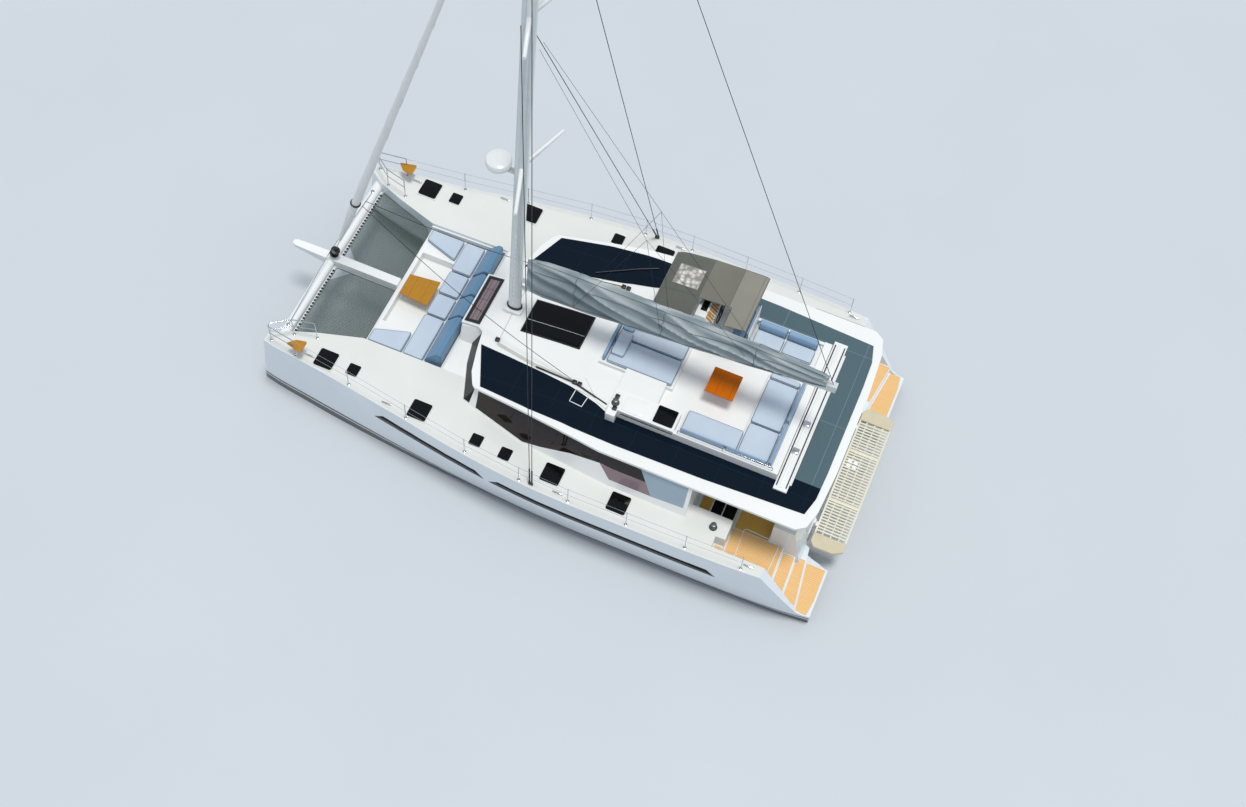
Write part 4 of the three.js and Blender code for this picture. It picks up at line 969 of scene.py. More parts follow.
def cover_point(x, around):
    """A point of the cover alone."""
    return cover_spot(x, around)[0]


print("cover stands", round(cover_point(COVER[2][0], 0.0).z, 2), "m above the water")

# %% [markdown]
# The cloth is darkened in the hollows of its folds as painted shade, so it is paler on its
# ridges. Each point of the mesh keeps its fold as a number, and the material darkens the cloth's
# own colour by it. Solidify then gives the cloth its thickness.

# %% Sail cover
COVER_STEPS, COVER_SIDES = 190, 44
COVER_GIRTH, COVER_THICK, FOLD_SHADE_GAIN = 2.6, 0.004, 11
tree = cover_cloth.node_tree
shader = tree.nodes["Principled BSDF"]
drift = shader.inputs["Base Color"].links[0].from_socket
# Painted shade: the fold number darkens the cloth towards 93A2A8 in its hollows and leaves the ridges as they
# are
ridge = add_node(tree, "ShaderNodeAttribute", attribute_name="fold_shade")
tone = {0: ridge.outputs["Fac"], 6: colour("93A2A8"), 7: colour("FFFFFF")}
fold_shade_tone = add_node(tree, "ShaderNodeMix", tone, data_type="RGBA").outputs[2]
mixed = add_node(tree, "ShaderNodeMix", {0: 1.0, 6: drift, 7: fold_shade_tone}, data_type="RGBA",
                 blend_type="MULTIPLY")
tree.links.new(mixed.outputs[2], shader.inputs["Base Color"])

bm = bmesh.new()
bmesh.ops.create_grid(bm, x_segments=COVER_STEPS, y_segments=COVER_SIDES, size=0.5)
cover_long = COVER[0][0] - COVER[-1][0]
fold_shade = bm.verts.layers.float.new("fold_shade")
for vertex in bm.verts:
    vertex.co, fold = cover_spot(COVER[-1][0] + (vertex.co.x + 0.5) * cover_long, vertex.co.y * 2)
    vertex[fold_shade] = min(max(0.5 + fold * FOLD_SHADE_GAIN, 0.0), 1.0)
cover_area = sum(f.calc_area() for f in bm.faces)
cover = finish_piece(bm, "sail_cover_bag", cover_cloth, "boom", corner=60)
thick = cover.modifiers.new("cloth_thickness", "SOLIDIFY")
thick.thickness = COVER_THICK
thick.offset = 1.0
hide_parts("sail_cover")
print("sail cover", round(cover_area, 1), "square metres")

# %% [markdown]
# Strips of webbing are sewn along the cover: a zip over the top, a batten pocket along each
# side and a chafe strip at each lazy jack. They follow the cloth, so they are made from the
# same function, a few millimetres further out.

# %% Webbing on the sail cover
STRIPS_AROUND = (-0.03, -0.30, 0.30, -0.93, 0.93)
STRIP_FROM_X, STRIP_TO_X, STRIP_STEPS = 1.45, -5.85, 120
JACK_X = [0.35, -1.9, -4.2]
BAND_STEPS = 16


def cover_strip(around):
    """Centre path of a sewn strip that runs along the cover, 4 mm out from it."""
    lift = Vector((0, math.copysign(0.004, -around), 0.004))
    xs = [STRIP_FROM_X + (STRIP_TO_X - STRIP_FROM_X) * k / STRIP_STEPS for k in range(STRIP_STEPS + 1)]
    return [cover_point(x, around) + lift for x in xs]


def cover_band(x, side):
    """Centre path of a chafe strip that runs over one side of the cover, a little wavy."""
    lift = Vector((0, -side * 0.004, 0.002))
    return [cover_point(x + 0.02 * math.sin(k), side * (0.05 + 0.9 * k / BAND_STEPS)) + lift
            for k in range(BAND_STEPS + 1)]


strips = [cover_strip(around) for around in STRIPS_AROUND]
tube("sail_cover_seams", strips, 0.007, cover_seam, "boom", sides=1)
bands = [cover_band(x, side) for x in JACK_X for side in (-1, 1)]
tube("sail_cover_chafe_strips", bands, 0.008, cover_seam, "boom", sides=1)
print("cover seams sewn")

# %% [markdown]
# Lazy jacks catch the sail as it comes down: thin lines from the cover's sides up to the mast.
# The topping lift runs from the boom's end to the masthead. All of them turn with the boom. Their
# upper ends lie near the axis that it swings on, so they move little there.

# %% Lazy jacks and topping lift
MASTHEAD = Vector((1.22, 0.0, 21.9))
JACK_JOIN = Vector((-1.3, 0.42, 8.2))
JACK_TOP = Vector((1.45, 0.10, 12.6))
BOOM_END_X = -6.08
jacks = []
for sign in (1, -1):
    mirrored = Matrix.Diagonal((1, sign, 1))
    join = mirrored @ JACK_JOIN
    for x in JACK_X:
        jacks.append([cover_point(x, -sign * 0.9) + Vector((0, sign * 0.006, 0)), join])
    jacks.append([join, mirrored @ JACK_TOP])
tube("lazy_jacks", jacks, 0.004, dark_rope, "boom", sides=1)
boom_end = BOOM_SWING @ Vector((BOOM_END_X, 0, boom_top(BOOM_END_X)))
tube("topping_lift", [[boom_end, MASTHEAD]], 0.007, dark_rope, "boom", sides=1)
print("boom lines rigged")

# %% [markdown]
# The bimini is coated canvas stretched over two hoops. One continuous sheet is cut to its plan,
# with an open notch over the wheel, and is drawn down over its outer tubes. It fades towards
# the stern, and has a clear panel that the helm looks up through to see the sail.

# %% Bimini canopy
BIMINI_LOW, BIMINI_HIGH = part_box("bimini")
CANOPY_STEP, CANOPY_THICK = 0.035, 0.005
# Notch over the helm: aft, forward and outer limits
OPEN_AFT_X, OPEN_FORWARD_X, OPEN_OUTER_Y = -3.10, -2.27, -1.22
HOOPS_X = (-1.60, -3.56)
CANOPY_FORWARD_Z, CANOPY_RISE = 4.252, 0.22
CANOPY_LIFT, CANOPY_SAG, CANOPY_WAVE = 0.012, 0.018, 0.004
# Past the outer tube, the forward hoop and the aft hoop the cloth reaches so far and drops so much
OUTER_TUBE_Y = -2.24
EDGE_REACH, EDGE_DROP = (0.20, 0.25, 0.09), (0.060, 0.035, 0.03)
FADE_X = (-2.25, -3.03)
# Corners of the slanted edges, with the cloth on the left of each line
SLANTS = [[(-3.65, -2.39), (-3.00, -2.45), (-2.25, -2.455), (-1.35, -2.35)],
          [(-1.35, -0.57), (-3.65, -0.69)]]


def canopy_z(x, y):
    """The canopy's height: the CAD plane with sag between its hoops and drawn-down edges."""
    part = (BIMINI_HIGH[0] - x) / (BIMINI_HIGH[0] - BIMINI_LOW[0])
    plane = CANOPY_FORWARD_Z + CANOPY_RISE * part
    past = (OUTER_TUBE_Y - y, x - HOOPS_X[0], HOOPS_X[1] - x)
    drops = [drop * (max(0.0, over) / reach) ** 2 for over, reach, drop in zip(past, EDGE_REACH, EDGE_DROP)]
    between = max(0.0, math.sin(math.pi * (x - HOOPS_X[1]) / (HOOPS_X[0] - HOOPS_X[1])))
    wave = CANOPY_WAVE * noise.noise(Vector((x * 3, y * 3, 0.4)))
    return plane + CANOPY_LIFT + wave - CANOPY_SAG * between - sum(drops)


bm = bmesh.new()
size_x, size_y = BIMINI_HIGH[0] - BIMINI_LOW[0], BIMINI_HIGH[1] - BIMINI_LOW[1]
add_grid(bm, BIMINI_LOW[:2], BIMINI_HIGH[:2], round(size_x / CANOPY_STEP), round(size_y / CANOPY_STEP))
for axis, limit in ((0, OPEN_AFT_X), (0, OPEN_FORWARD_X), (1, OPEN_OUTER_Y), (0, FADE_X[0]), (0, FADE_X[1])):
    point, normal = Vector(), Vector()
    point[axis], normal[axis] = limit, 1.0
    cut(bm, point, normal)
for line in SLANTS:
    for a, b in zip(line, line[1:]):
        cut(bm, (*a, 0), (b[1] - a[1], a[0] - b[0], 0), clear=True)
middles = {f: f.calc_center_median() for f in bm.faces}
opened = [f for f, middle in middles.items()
          if middle.y > OPEN_OUTER_Y and OPEN_AFT_X < middle.x < OPEN_FORWARD_X]
bmesh.ops.delete(bm, geom=opened, context="FACES")
for face in bm.faces:
    face.material_index = sum(face.calc_center_median().x < limit for limit in FADE_X)
canopy_area = sum(f.calc_area() for f in bm.faces)
for vertex in bm.verts:
    vertex.co.z = canopy_z(vertex.co.x, vertex.co.y)
canopy = finish_piece(bm, "bimini_canopy", [canopy_cloth, canopy_faded, canopy_light], corner=60)
thick = canopy.modifiers.new("cloth_thickness", "SOLIDIFY")
thick.thickness = CANOPY_THICK
thick.offset = 1.0
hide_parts("bimini")
print("canopy", round(canopy_area, 2), "square metres")

# %% [markdown]
# Details of the canopy: a rolled hem round the edge and sewn seams across it. They follow the
# cloth, so they are paths in plan that take their heights from the canopy.

# %% Canopy hem and seams
NOTCH_SLANT = 0.052
HEM_RADIUS, SEAM_RADIUS = 0.010, 0.0045
# Seams across the boat: x and the y that they reach in to
SEAMS = [(-1.62, -0.6), (FADE_X[0], -0.66), (FADE_X[1], -1.24), (-3.56, -0.7)]
SEAM_OUTER_Y = -2.37
inner_y = [SLANTS[1][0][1] + (x - BIMINI_HIGH[0]) * NOTCH_SLANT for x in (OPEN_FORWARD_X, OPEN_AFT_X)]
notch = [(OPEN_FORWARD_X, inner_y[0]), (OPEN_FORWARD_X, OPEN_OUTER_Y),
         (OPEN_AFT_X, OPEN_OUTER_Y), (OPEN_AFT_X, inner_y[1])]
canopy_ring = SLANTS[0] + SLANTS[1][:1] + notch + SLANTS[1][1:]


def on_canopy(points, lift=0.008, step=0.07):
    """A path laid on the canopy through these plan points."""
    return [Vector((x, y, canopy_z(x, y) + lift)) for x, y in plan_path(points, step)]


hem = on_canopy(canopy_ring + canopy_ring[:1], 0.003)[:-1]
tube("canopy_hem", [hem], HEM_RADIUS, canopy_cloth, closed=True)
seam_lines = [on_canopy([(x, SEAM_OUTER_Y), (x, y)]) for x, y in SEAMS]
seam_lines += [on_canopy([(-1.36, -1.20), (FADE_X[0], -1.25)])]
tube("canopy_seams", seam_lines, SEAM_RADIUS, cover_seam, sides=1)
print("canopy hemmed, with", len(seam_lines), "seams")

# %% [markdown]
# The canopy's clear panel is vinyl in a frame of white tape. It shows pale, crumpled shapes of
# what is stowed below, which a cell pattern gives as colour and as relief.

# %% Clear panel of the canopy
PANEL_LOW, PANEL_HIGH = (-2.15, -2.00), (-1.50, -1.40)
PANEL_STEPS, PANEL_LIFT, PANEL_THICK = 16, 0.009, 0.002
TAPE_RADIUS = 0.007
clear_panel, tree, shader, place = start_finish("vinyl_clear_over_white", "EDEBE4", 0.12, Coat_Weight=0.6)
crumple = add_node(tree, "ShaderNodeTexVoronoi", {"Vector": place, "Scale": 9.0, "Randomness": 1.0})
tone = add_node(tree, "ShaderNodeValToRGB", {"Fac": crumple.outputs["Distance"]})
tone.color_ramp.elements[0].color = colour("F4F2EC")
tone.color_ramp.elements[1].color = colour("8C8880")
tone.color_ramp.elements[1].position = 0.75
tree.links.new(tone.outputs["Color"], shader.inputs["Base Color"])
add_relief(tree, shader, crumple.outputs["Distance"], 0.006)
bm = bmesh.new()
add_grid(bm, PANEL_LOW, PANEL_HIGH, PANEL_STEPS, PANEL_STEPS)
for vertex in bm.verts:
    vertex.co.z = canopy_z(vertex.co.x, vertex.co.y) + PANEL_LIFT
bmesh.ops.solidify(bm, geom=bm.faces[:], thickness=PANEL_THICK)
finish_piece(bm, "canopy_clear_panel", clear_panel)
tape = oblong(PANEL_LOW[0], PANEL_HIGH[0], PANEL_LOW[1], PANEL_HIGH[1])
tape_path = on_canopy(tape + tape[:1], 0.01)[:-1]
tube("canopy_panel_tape", [tape_path], TAPE_RADIUS, canopy_light, closed=True, sides=1)
print("canopy finished")

# %% [markdown]
# The rails are polished tube: stanchions with two wires along the deck edge, and a pulpit round
# each bow with a wooden seat. Their places come from the CAD rails, so the stanchions stand on
# the same feet. The CAD's chords are short straight rods, and here they are bent tube.

# %% Guardrails
RAIL_TOP, RAIL_LOW = 2.67, 2.38
STANCHIONS_X = [5.0, 3.3, 1.6, 0.1, -1.2, -2.7, -4.2, -5.6]
PULPIT_X, PULPIT_BEND = 6.6, 0.09
# The pulpit's bends forward of its first leg, and its other legs, both on the port side
PULPIT_BENDS = [(7.33, 2.985), (7.33, 2.90), (6.9, 2.57), (6.33, 2.43)]
PULPIT_LEGS = [(7.33, 2.955), (6.9, 2.57), (6.33, 2.43)]
RAIL_FOOT = [(0.0, 0.0), (0.042, 0.0), (0.042, 0.006), (0.022, 0.012), (0.018, 0.05), (0.0, 0.05)]
BOW_SEAT = [(6.80, 3.09), (6.62, 2.90), (6.34, 2.84), (6.34, 3.20)]


def rail_y(node, x):
    """How far out the CAD rail stands at x."""
    near = [abs(v.co.y) for v in frame["nodes"][node].data.vertices if abs(v.co.x - x) < 0.02 and v.co.z > 2.3]
    return sum(near) / len(near)


def deck_z(node, x):
    """The foot of the CAD stanchion at x."""
    return min(v.co.z for v in frame["nodes"][node].data.vertices if abs(v.co.x - x) < 0.02)


for side in ("port", "starboard"):
    sign, node = (1 if side == "port" else -1), f"guardrail_{side}"
    feet = [(x, sign * rail_y(node, x), deck_z(node, x)) for x in STANCHIONS_X]
    bow = (PULPIT_X, rail_y(node, PULPIT_X))
    posts = [[(x, y, z), (x, y, RAIL_TOP + 0.01)] for x, y, z in feet]
    wires = [[(PULPIT_X, sign * bow[1], level)] + [(x, y, level) for x, y, z in feet]
             for level in (RAIL_TOP - 0.01, RAIL_LOW)]
    pulpit_top = [(x, sign * y, RAIL_TOP) for x, y in [bow] + PULPIT_BENDS]
    pulpit_low = [(x, y, RAIL_LOW) for x, y, z in pulpit_top]
    legs = [[(x, sign * y, deck_z(node, x)), (x, sign * y, RAIL_TOP)] for x, y in [bow] + PULPIT_LEGS]
    for label, paths, radius, corner in (
            ("posts", posts, 0.0125, 0.0), ("wires", wires, 0.004, 0.0),
            ("pulpit", [pulpit_top], 0.014, PULPIT_BEND), ("pulpit_low", [pulpit_low], 0.011, PULPIT_BEND),
            ("legs", legs, 0.0125, 0.0)):
        piece = tube(f"rail_{label}_{side}", paths, radius, stainless, corner=corner, sides=2)
        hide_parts(node)
    bm = bmesh.new()
    for place in feet + [leg[0] for leg in legs]:
        add_turned(bm, RAIL_FOOT, place, steps=16)
    finish_piece(bm, f"rail_feet_{side}", stainless)
    seat_ring = [(x, sign * y) for x, y in BOW_SEAT]
    bm = bmesh.new()
    add_plate(bm, seat_ring, RAIL_LOW + 0.012, RAIL_LOW + 0.034, 0.05, 0.006)
    seat_piece = finish_piece(bm, f"bow_seat_{side}", dark_varnish)
    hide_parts(node)
print("rails made")

# %% [markdown]
# Shrouds are thin dark wire with turnbuckles at their feet, which a sleeve covers. They run
# from the chainplates on the hulls to the same two points of the mast as the CAD rods.

# %% Shrouds and their turnbuckles
wire_dark = patina("steel_wire_dark", "3A4044", "2A2F33", 0.2, 0.01, 0.0002, 0.35, 0.8)
# How far forward of the chainplate's middle each shroud starts, and its head on the port side
SHROUD_RUNS = [(-0.03, (1.661, 0.107, 18.9)), (0.03, (1.844, 0.118, 13.1))]
CHAINPLATE = Vector((-0.22, 3.98, 2.16))
PLATE_X, PLATE_Z, PLATE_HALF = (-0.28, -0.16), (2.05, 2.17), 0.014
WIRE_RADIUS, SLEEVE_RADIUS = 0.009, 0.019
WIRE_FROM, SLEEVE_TO = 0.40, 0.42
for side in ("port", "starboard"):
    sign, node = (1 if side == "port" else -1), f"shrouds_{side}"
    wires, sleeves = [], []
    for offset, (head_x, head_y, head_z) in SHROUD_RUNS:
        foot = Vector((CHAINPLATE.x + offset, sign * CHAINPLATE.y, CHAINPLATE.z))
        head = Vector((head_x, sign * head_y, head_z))
        way = (head - foot).normalized()
        wires.append([foot + way * WIRE_FROM, head])
        sleeves.append([foot, foot + way * SLEEVE_TO])
    plate_y = sign * CHAINPLATE.y
    plate = [((PLATE_X[0], plate_y - PLATE_HALF, PLATE_Z[0]), (PLATE_X[1], plate_y + PLATE_HALF, PLATE_Z[1]))]
    for piece in (tube(f"shroud_wires_{side}", wires, WIRE_RADIUS, wire_dark, sides=2),
                  tube(f"shroud_turnbuckles_{side}", sleeves, SLEEVE_RADIUS, wire_dark, sides=3),
                  block_piece(f"chainplate_{side}", plate, 0.004, black_plastic)):
        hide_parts(node)
print(2 * len(SHROUD_RUNS), "shrouds made")

# %% [markdown]
# The radar's dome is turned from a profile that is drawn for a dome of unit size, and takes its
# real size from the CAD solid. The canopy's frame is bent tube already, so it keeps its shape.

# %% Radar dome and canopy frame
DOME = [(0.0, 0.0), (0.82, 0.0), (0.94, 0.10), (1.0, 0.30), (1.0, 0.62), (0.93, 0.84), (0.72, 0.96),
        (0.40, 1.0), (0.0, 1.0)]
low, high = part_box("radar")
radius, tall = (high[0] - low[0]) / 2, high[2] - low[2]
bm = bmesh.new()
add_turned(bm, [(r * radius, h * tall) for r, h in DOME], ((low[0] + high[0]) / 2, 0, low[2]), steps=40)
dome = finish_piece(bm, "radar_dome", gelcoat)
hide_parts("radar")
dress("bimini_frame", stainless, 0.0, corner=80)
print("dome", round(2 * radius, 2), "m wide")

# %% [markdown]
# The swim platform is a frame of cream mouldings with slats that let water drain. Two wide
# bands divide it into three bays, and both ends are moulded sand-coloured panels with cut
# corners. Slats run fore and aft, as the picture shows.

# %% Swim platform
low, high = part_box("swim_platform")
DECK_TOP, FRAME_WIDE, FRAME_DEEP = high[2], 0.05, 0.05
FRONT_X, AFT_X = -6.842, low[0]
BAY_Y, BANDS_Y, BAND_HALF = 1.74, (-0.80, 0.72), 0.045
SLAT_PITCH, SLAT_HALF = 0.082, 0.023
BEARERS_X = (-7.05, -7.26, -7.47)
END_PANEL = [(FRONT_X, BAY_Y), (FRONT_X, 1.99), (FRONT_X - 0.11, 2.12), (AFT_X + 0.24, 2.12),
             (AFT_X, 1.99), (AFT_X, BAY_Y)]
RAIL_Y, CARRIAGE_HALF, CARRIAGE_X, CARRIAGE_Z = 1.5, 0.06, (-6.848, -6.800), (0.72, 0.935)
CHOCKS = [(-7.0, -0.49), (-7.0, -0.36), (-7.16, -0.49), (-7.16, -0.36)]
bm = bmesh.new()
add_block(bm, (AFT_X, -BAY_Y, DECK_TOP - FRAME_DEEP), (AFT_X + FRAME_WIDE, BAY_Y, DECK_TOP), 0.012)
add_block(bm, (FRONT_X - FRAME_WIDE, -BAY_Y, DECK_TOP - FRAME_DEEP), (FRONT_X, BAY_Y, DECK_TOP), 0.012)
for y in BANDS_Y:
    add_block(bm, (AFT_X + 0.03, y - BAND_HALF, DECK_TOP - 0.055),
              (FRONT_X - 0.03, y + BAND_HALF, DECK_TOP - 0.002), 0.008)
beams = [-BAY_Y, *BANDS_Y, BAY_Y]
slats = 0
for bay_low, bay_high in zip(beams, beams[1:]):
    room = bay_high - bay_low - 2 * BAND_HALF
    count = round(room / SLAT_PITCH)
    for number in range(count):
        y = bay_low + BAND_HALF + room * (number + 0.5) / count
        add_block(bm, (AFT_X + 0.04, y - SLAT_HALF, DECK_TOP - 0.03),
                  (FRONT_X - 0.04, y + SLAT_HALF, DECK_TOP - 0.004), 0.006, 1)
        slats += 1
for x in BEARERS_X:
    add_block(bm, (x - 0.02, -BAY_Y, DECK_TOP - 0.07), (x + 0.02, BAY_Y, DECK_TOP - 0.031), 0.004, 1)
grating = finish_piece(bm, "platform_grating", platform_slat, "swim_platform")
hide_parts("swim_platform")
for side, sign in (("port", 1), ("starboard", -1)):
    bm = bmesh.new()
    add_plate(bm, [(x, sign * y) for x, y in END_PANEL], DECK_TOP - 0.075, DECK_TOP - 0.002, 0.02, 0.01)
    end_panel = finish_piece(bm, f"platform_end_{side}", platform_deck, "swim_platform")
    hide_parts("swim_platform")
    slide_y = sign * RAIL_Y
    block = [((CARRIAGE_X[0], slide_y - CARRIAGE_HALF, CARRIAGE_Z[0]),
              (CARRIAGE_X[1], slide_y + CARRIAGE_HALF, CARRIAGE_Z[1]))]
    carriage = block_piece(f"platform_carriage_{side}", block, 0.006, painted_alloy,
                           "swim_platform")
    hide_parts("swim_platform")
chocks = [((x - 0.05, y - 0.05, DECK_TOP - 0.006), (x + 0.05, y + 0.05, DECK_TOP)) for x, y in CHOCKS]
block_piece("platform_chocks", chocks, 0.004, painted_alloy, "swim_platform")
print("platform made with", slats, "slats")

# %% [markdown]
# Cushions are foam in sewn covers: flat below, crowned on top, with sides that pull in between
# the corners. Real cloth does that under pressure, so cloth simulation makes them. They all
# start as slightly small plates, a voxel remesh gives each an even skin, and the Cloth modifier
# blows them up for a few frames. The movement is capped, so that none grows into its neighbour.

# %% Flat cushions: outline in x and y, heights, finish and CAD node
FLY_SEAT, FORE_SEAT = 3.2405, 1.7805
FLY_TOP, FORE_TOP = 3.36, 1.905
FORE_SEAMS = [-1.88, -0.90, -0.15, 0.55, 1.88]
FORE_WING = [(5.25, 1.51), (4.31, 1.20), (4.31, 1.87), (5.25, 1.88)]
# Half the gap that is left between neighbours
APART = 0.01
FLY_FLAT = {
    "sunbed_pad_port": (oblong(-2.44, -0.72, 0.008, 0.755), "sunbed_cushion"),
    "sunbed_pad_starboard": (oblong(-2.44, -0.72, -0.755, -0.008), "sunbed_cushion"),
    "bench_pad_port": (oblong(-4.49, -3.07, 1.18, 1.775), "lounge_cushion"),
    "bench_pad_corner": (oblong(-5.285, -4.505, 0.89, 1.775), "lounge_cushion"),
    "bench_pad_middle": (oblong(-5.285, -4.505, -0.445, 0.875), "lounge_cushion"),
    "bench_pad_end": (oblong(-5.285, -4.505, -0.635, -0.46), "lounge_cushion"),
    "settee_pad_forward": (oblong(-4.492, -3.75, -1.655, -1.22), "settee_cushion"),
    "settee_pad_aft": (oblong(-5.29, -4.508, -1.655, -1.22), "settee_cushion"),
}
# Laid on the others or on the helm seat, with their own heights
LOOSE_FLAT = {
    "sunbed_pillow": (oblong(-1.10, -0.74, -0.16, 0.56), (3.335, 3.43), seat_cloth, "sunbed_cushion"),
    "sunbed_corner_pad": (oblong(-1.06, -0.74, -0.74, -0.20), (3.335, 3.41), back_cloth, "sunbed_cushion"),
    "helm_pad": (oblong(-3.60, -3.26, -1.85, -0.91), (3.55, 3.64), back_cloth, "helm_seat"),
}
plans = {name: ("flat", outline, (FLY_SEAT, FLY_TOP), seat_cloth, node)
         for name, (outline, node) in FLY_FLAT.items()}
for name, rest in LOOSE_FLAT.items():
    plans[name] = ("flat", *rest)
for side, sign in (("port", 1), ("starboard", -1)):
    outline = [(x, sign * y) for x, y in (FORE_WING if sign > 0 else FORE_WING[::-1])]
    plans[f"fore_wing_{side}"] = ("flat", outline, (FORE_SEAT, FORE_TOP), seat_cloth, "fore_cushion")
for number, (low_y, high_y) in enumerate(zip(FORE_SEAMS, FORE_SEAMS[1:]), 1):
    outline = oblong(3.72, 4.28, low_y + APART, high_y - APART)
    plans[f"fore_seat_{number}"] = ("flat", outline, (FORE_SEAT, FORE_TOP), seat_cloth, "fore_cushion")
print(len(plans), "flat cushions planned")

# %% [markdown]
# Backrests and bolsters stand up. Those that run across the boat are drawn in x and z, and
# those that run along its side in y and z, each with the range that they reach over.

# %% Standing cushions: outline, range, finish and CAD node
FORE_BACK = [(3.205, FORE_SEAT), (3.69, FORE_SEAT), (3.69, 1.92), (3.335, 2.35), (3.205, 2.35)]
FORE_BACK_END = 1.86
for number, (low_y, high_y) in enumerate(zip(FORE_SEAMS, FORE_SEAMS[1:]), 1):
    span = (max(low_y, -FORE_BACK_END) + APART, min(high_y, FORE_BACK_END) - APART)
    plans[f"fore_back_{number}"] = ("across", FORE_BACK, span, fore_back_cloth, "fore_backrest")
AFT_ROLL = oblong(-5.39, -5.297, FLY_SEAT, 3.512)
PORT_ROLL = oblong(1.785, 1.855, FLY_SEAT, 3.492)
SETTEE_BACK = [(-1.87, FLY_SEAT), (-1.66, FLY_SEAT), (-1.70, 3.512), (-1.87, 3.512)]
STANDING = {
    "aft_roll_port": ("across", AFT_ROLL, (0.62, 1.85), "lounge_cushion"),
    "aft_roll_starboard": ("across", AFT_ROLL, (-0.63, 0.61), "lounge_cushion"),
    "port_roll_forward": ("along", PORT_ROLL, (-4.215, -3.07), "lounge_cushion"),
    "port_roll_aft": ("along", PORT_ROLL, (-5.28, -4.225), "lounge_cushion"),
    "settee_back_forward": ("along", SETTEE_BACK, (-4.495, -3.75), "settee_cushion"),
    "settee_back_aft": ("along", SETTEE_BACK, (-5.29, -4.505), "settee_cushion"),
}
for name, (kind, outline, span, node) in STANDING.items():
    plans[name] = (kind, outline, span, back_cloth, node)
plans["sunbed_bolster"] = ("flat", oblong(-0.705, -0.61, -0.70, 0.75), (FLY_SEAT, 3.42), back_cloth,
                           "sunbed_cushion")
plans["helm_back"] = ("across", oblong(-3.69, -3.62, 3.66, 4.06), (-1.85, -0.91), back_cloth, "helm_seat")
print(len(plans), "cushions planned")

# %% [markdown]
# The starting shapes: each outline, drawn in by 8 mm, becomes a plate with rounded corners, and
# a Remesh modifier turns it into small even faces that cloth can bend.

# %% Starting shapes for the simulation
SHRINK = 0.008
VOXEL = 0.026
# Corner and rim radius of a flat cushion and of a standing one
FLAT_ROUND, STANDING_ROUND = (0.05, 0.03), (0.03, 0.025)
# The drawing's first axis, second axis and rise, as rows for x, y and z
DRAWN_AXES = {"flat": Matrix.Identity(4),
              "across": Matrix(((1, 0, 0, 0), (0, 0, 1, 0), (0, 1, 0, 0), (0, 0, 0, 1))),
              "along": Matrix(((0, 0, 1, 0), (1, 0, 0, 0), (0, 1, 0, 0), (0, 0, 0, 1)))}


def drawn_in(outline, amount):
    """The outline scaled towards its middle, by about this amount on each side."""
    middle = Vector((sum(p[0] for p in outline), sum(p[1] for p in outline))) / len(outline)
    wide = max(p[0] for p in outline) - min(p[0] for p in outline)
    deep = max(p[1] for p in outline) - min(p[1] for p in outline)
    grow = Vector(((wide - 2 * amount) / wide, (deep - 2 * amount) / deep))
    return [(middle.x + (p[0] - middle.x) * grow.x, middle.y + (p[1] - middle.y) * grow.y) for p in outline]


def cushion_shape(plan):
    """One cushion's starting shape, turned from its drawing into the boat's axes."""
    kind, outline, (low, high) = plan[:3]
    bm = bmesh.new()
    corner, rim = FLAT_ROUND if kind == "flat" else STANDING_ROUND
    add_plate(bm, drawn_in(outline, SHRINK), low + SHRINK, high - SHRINK * 1.5, corner, rim)
    bmesh.ops.transform(bm, matrix=DRAWN_AXES[kind], verts=bm.verts)
    bmesh.ops.recalc_face_normals(bm, faces=bm.faces)
    return bm


def evaluated_mesh(piece):
    """The mesh as its modifiers make it now."""
    depsgraph = bpy.context.evaluated_depsgraph_get()
    return bpy.data.meshes.new_from_object(piece.evaluated_get(depsgraph))


cushion_mesh = bpy.data.meshes.new("cushion_stock")
cushion_stock = bpy.data.objects.new("cushion_stock", cushion_mesh)
bpy.context.scene.collection.objects.link(cushion_stock)
remesh = cushion_stock.modifiers.new("even_skin", "REMESH")
remesh.mode = "VOXEL"
remesh.voxel_size = VOXEL
stock = bmesh.new()
first_point = {}
for name, plan in plans.items():
    single = cushion_shape(plan)
    single.to_mesh(cushion_mesh)
    single.free()
    first_point[name] = len(stock.verts)
    stock.from_mesh(evaluated_mesh(cushion_stock))
cushion_stock.modifiers.clear()
stock.to_mesh(cushion_mesh)
stock.free()
print("cushion skin", len(cushion_mesh.vertices), "points")

# %% [markdown]
# The simulation itself. Gravity is off, because foam carries the seat, and the pressure does
# all the work. What comes out is read back as a plain mesh, so that nothing live stays on it.

# %% Swell the cushions with cloth pressure
FRAMES, MOST_SWELL = 14, 0.02
at_rest = [v.co.copy() for v in cushion_mesh.vertices]
cloth = cushion_stock.modifiers.new("cover", "CLOTH")
cloth.settings.quality = 4
cloth.settings.mass = 0.3
cloth.settings.tension_stiffness = 15
cloth.settings.bending_stiffness = 0.5
cloth.settings.use_pressure = True
cloth.settings.uniform_pressure_force = 4.0
cloth.settings.effector_weights.gravity = 0.0
cloth.collision_settings.use_collision = False
cloth.point_cache.frame_start = 1
cloth.point_cache.frame_end = 20
for step in range(1, FRAMES + 1):
    bpy.context.scene.frame_set(step)
cushion_mesh = evaluated_mesh(cushion_stock)
for vertex, rest in zip(cushion_mesh.vertices, at_rest):
    moved = vertex.co - rest
    vertex.co = rest + moved * min(1.0, MOST_SWELL / max(moved.length, 1e-6))
bpy.context.scene.frame_set(1)
print("most swelling", round(max((v.co - r).length for v, r in zip(cushion_mesh.vertices, at_rest)), 4))
bpy.data.objects.remove(cushion_stock)

# %% [markdown]
# Each cushion then becomes its own piece, cut out of the mesh by its range of points. Points
# under the seat's level are pressed flat on it, and a few gentle smoothing passes take the
# voxel steps out of the skin.

# %% One piece for each cushion
SMOOTHINGS = 3


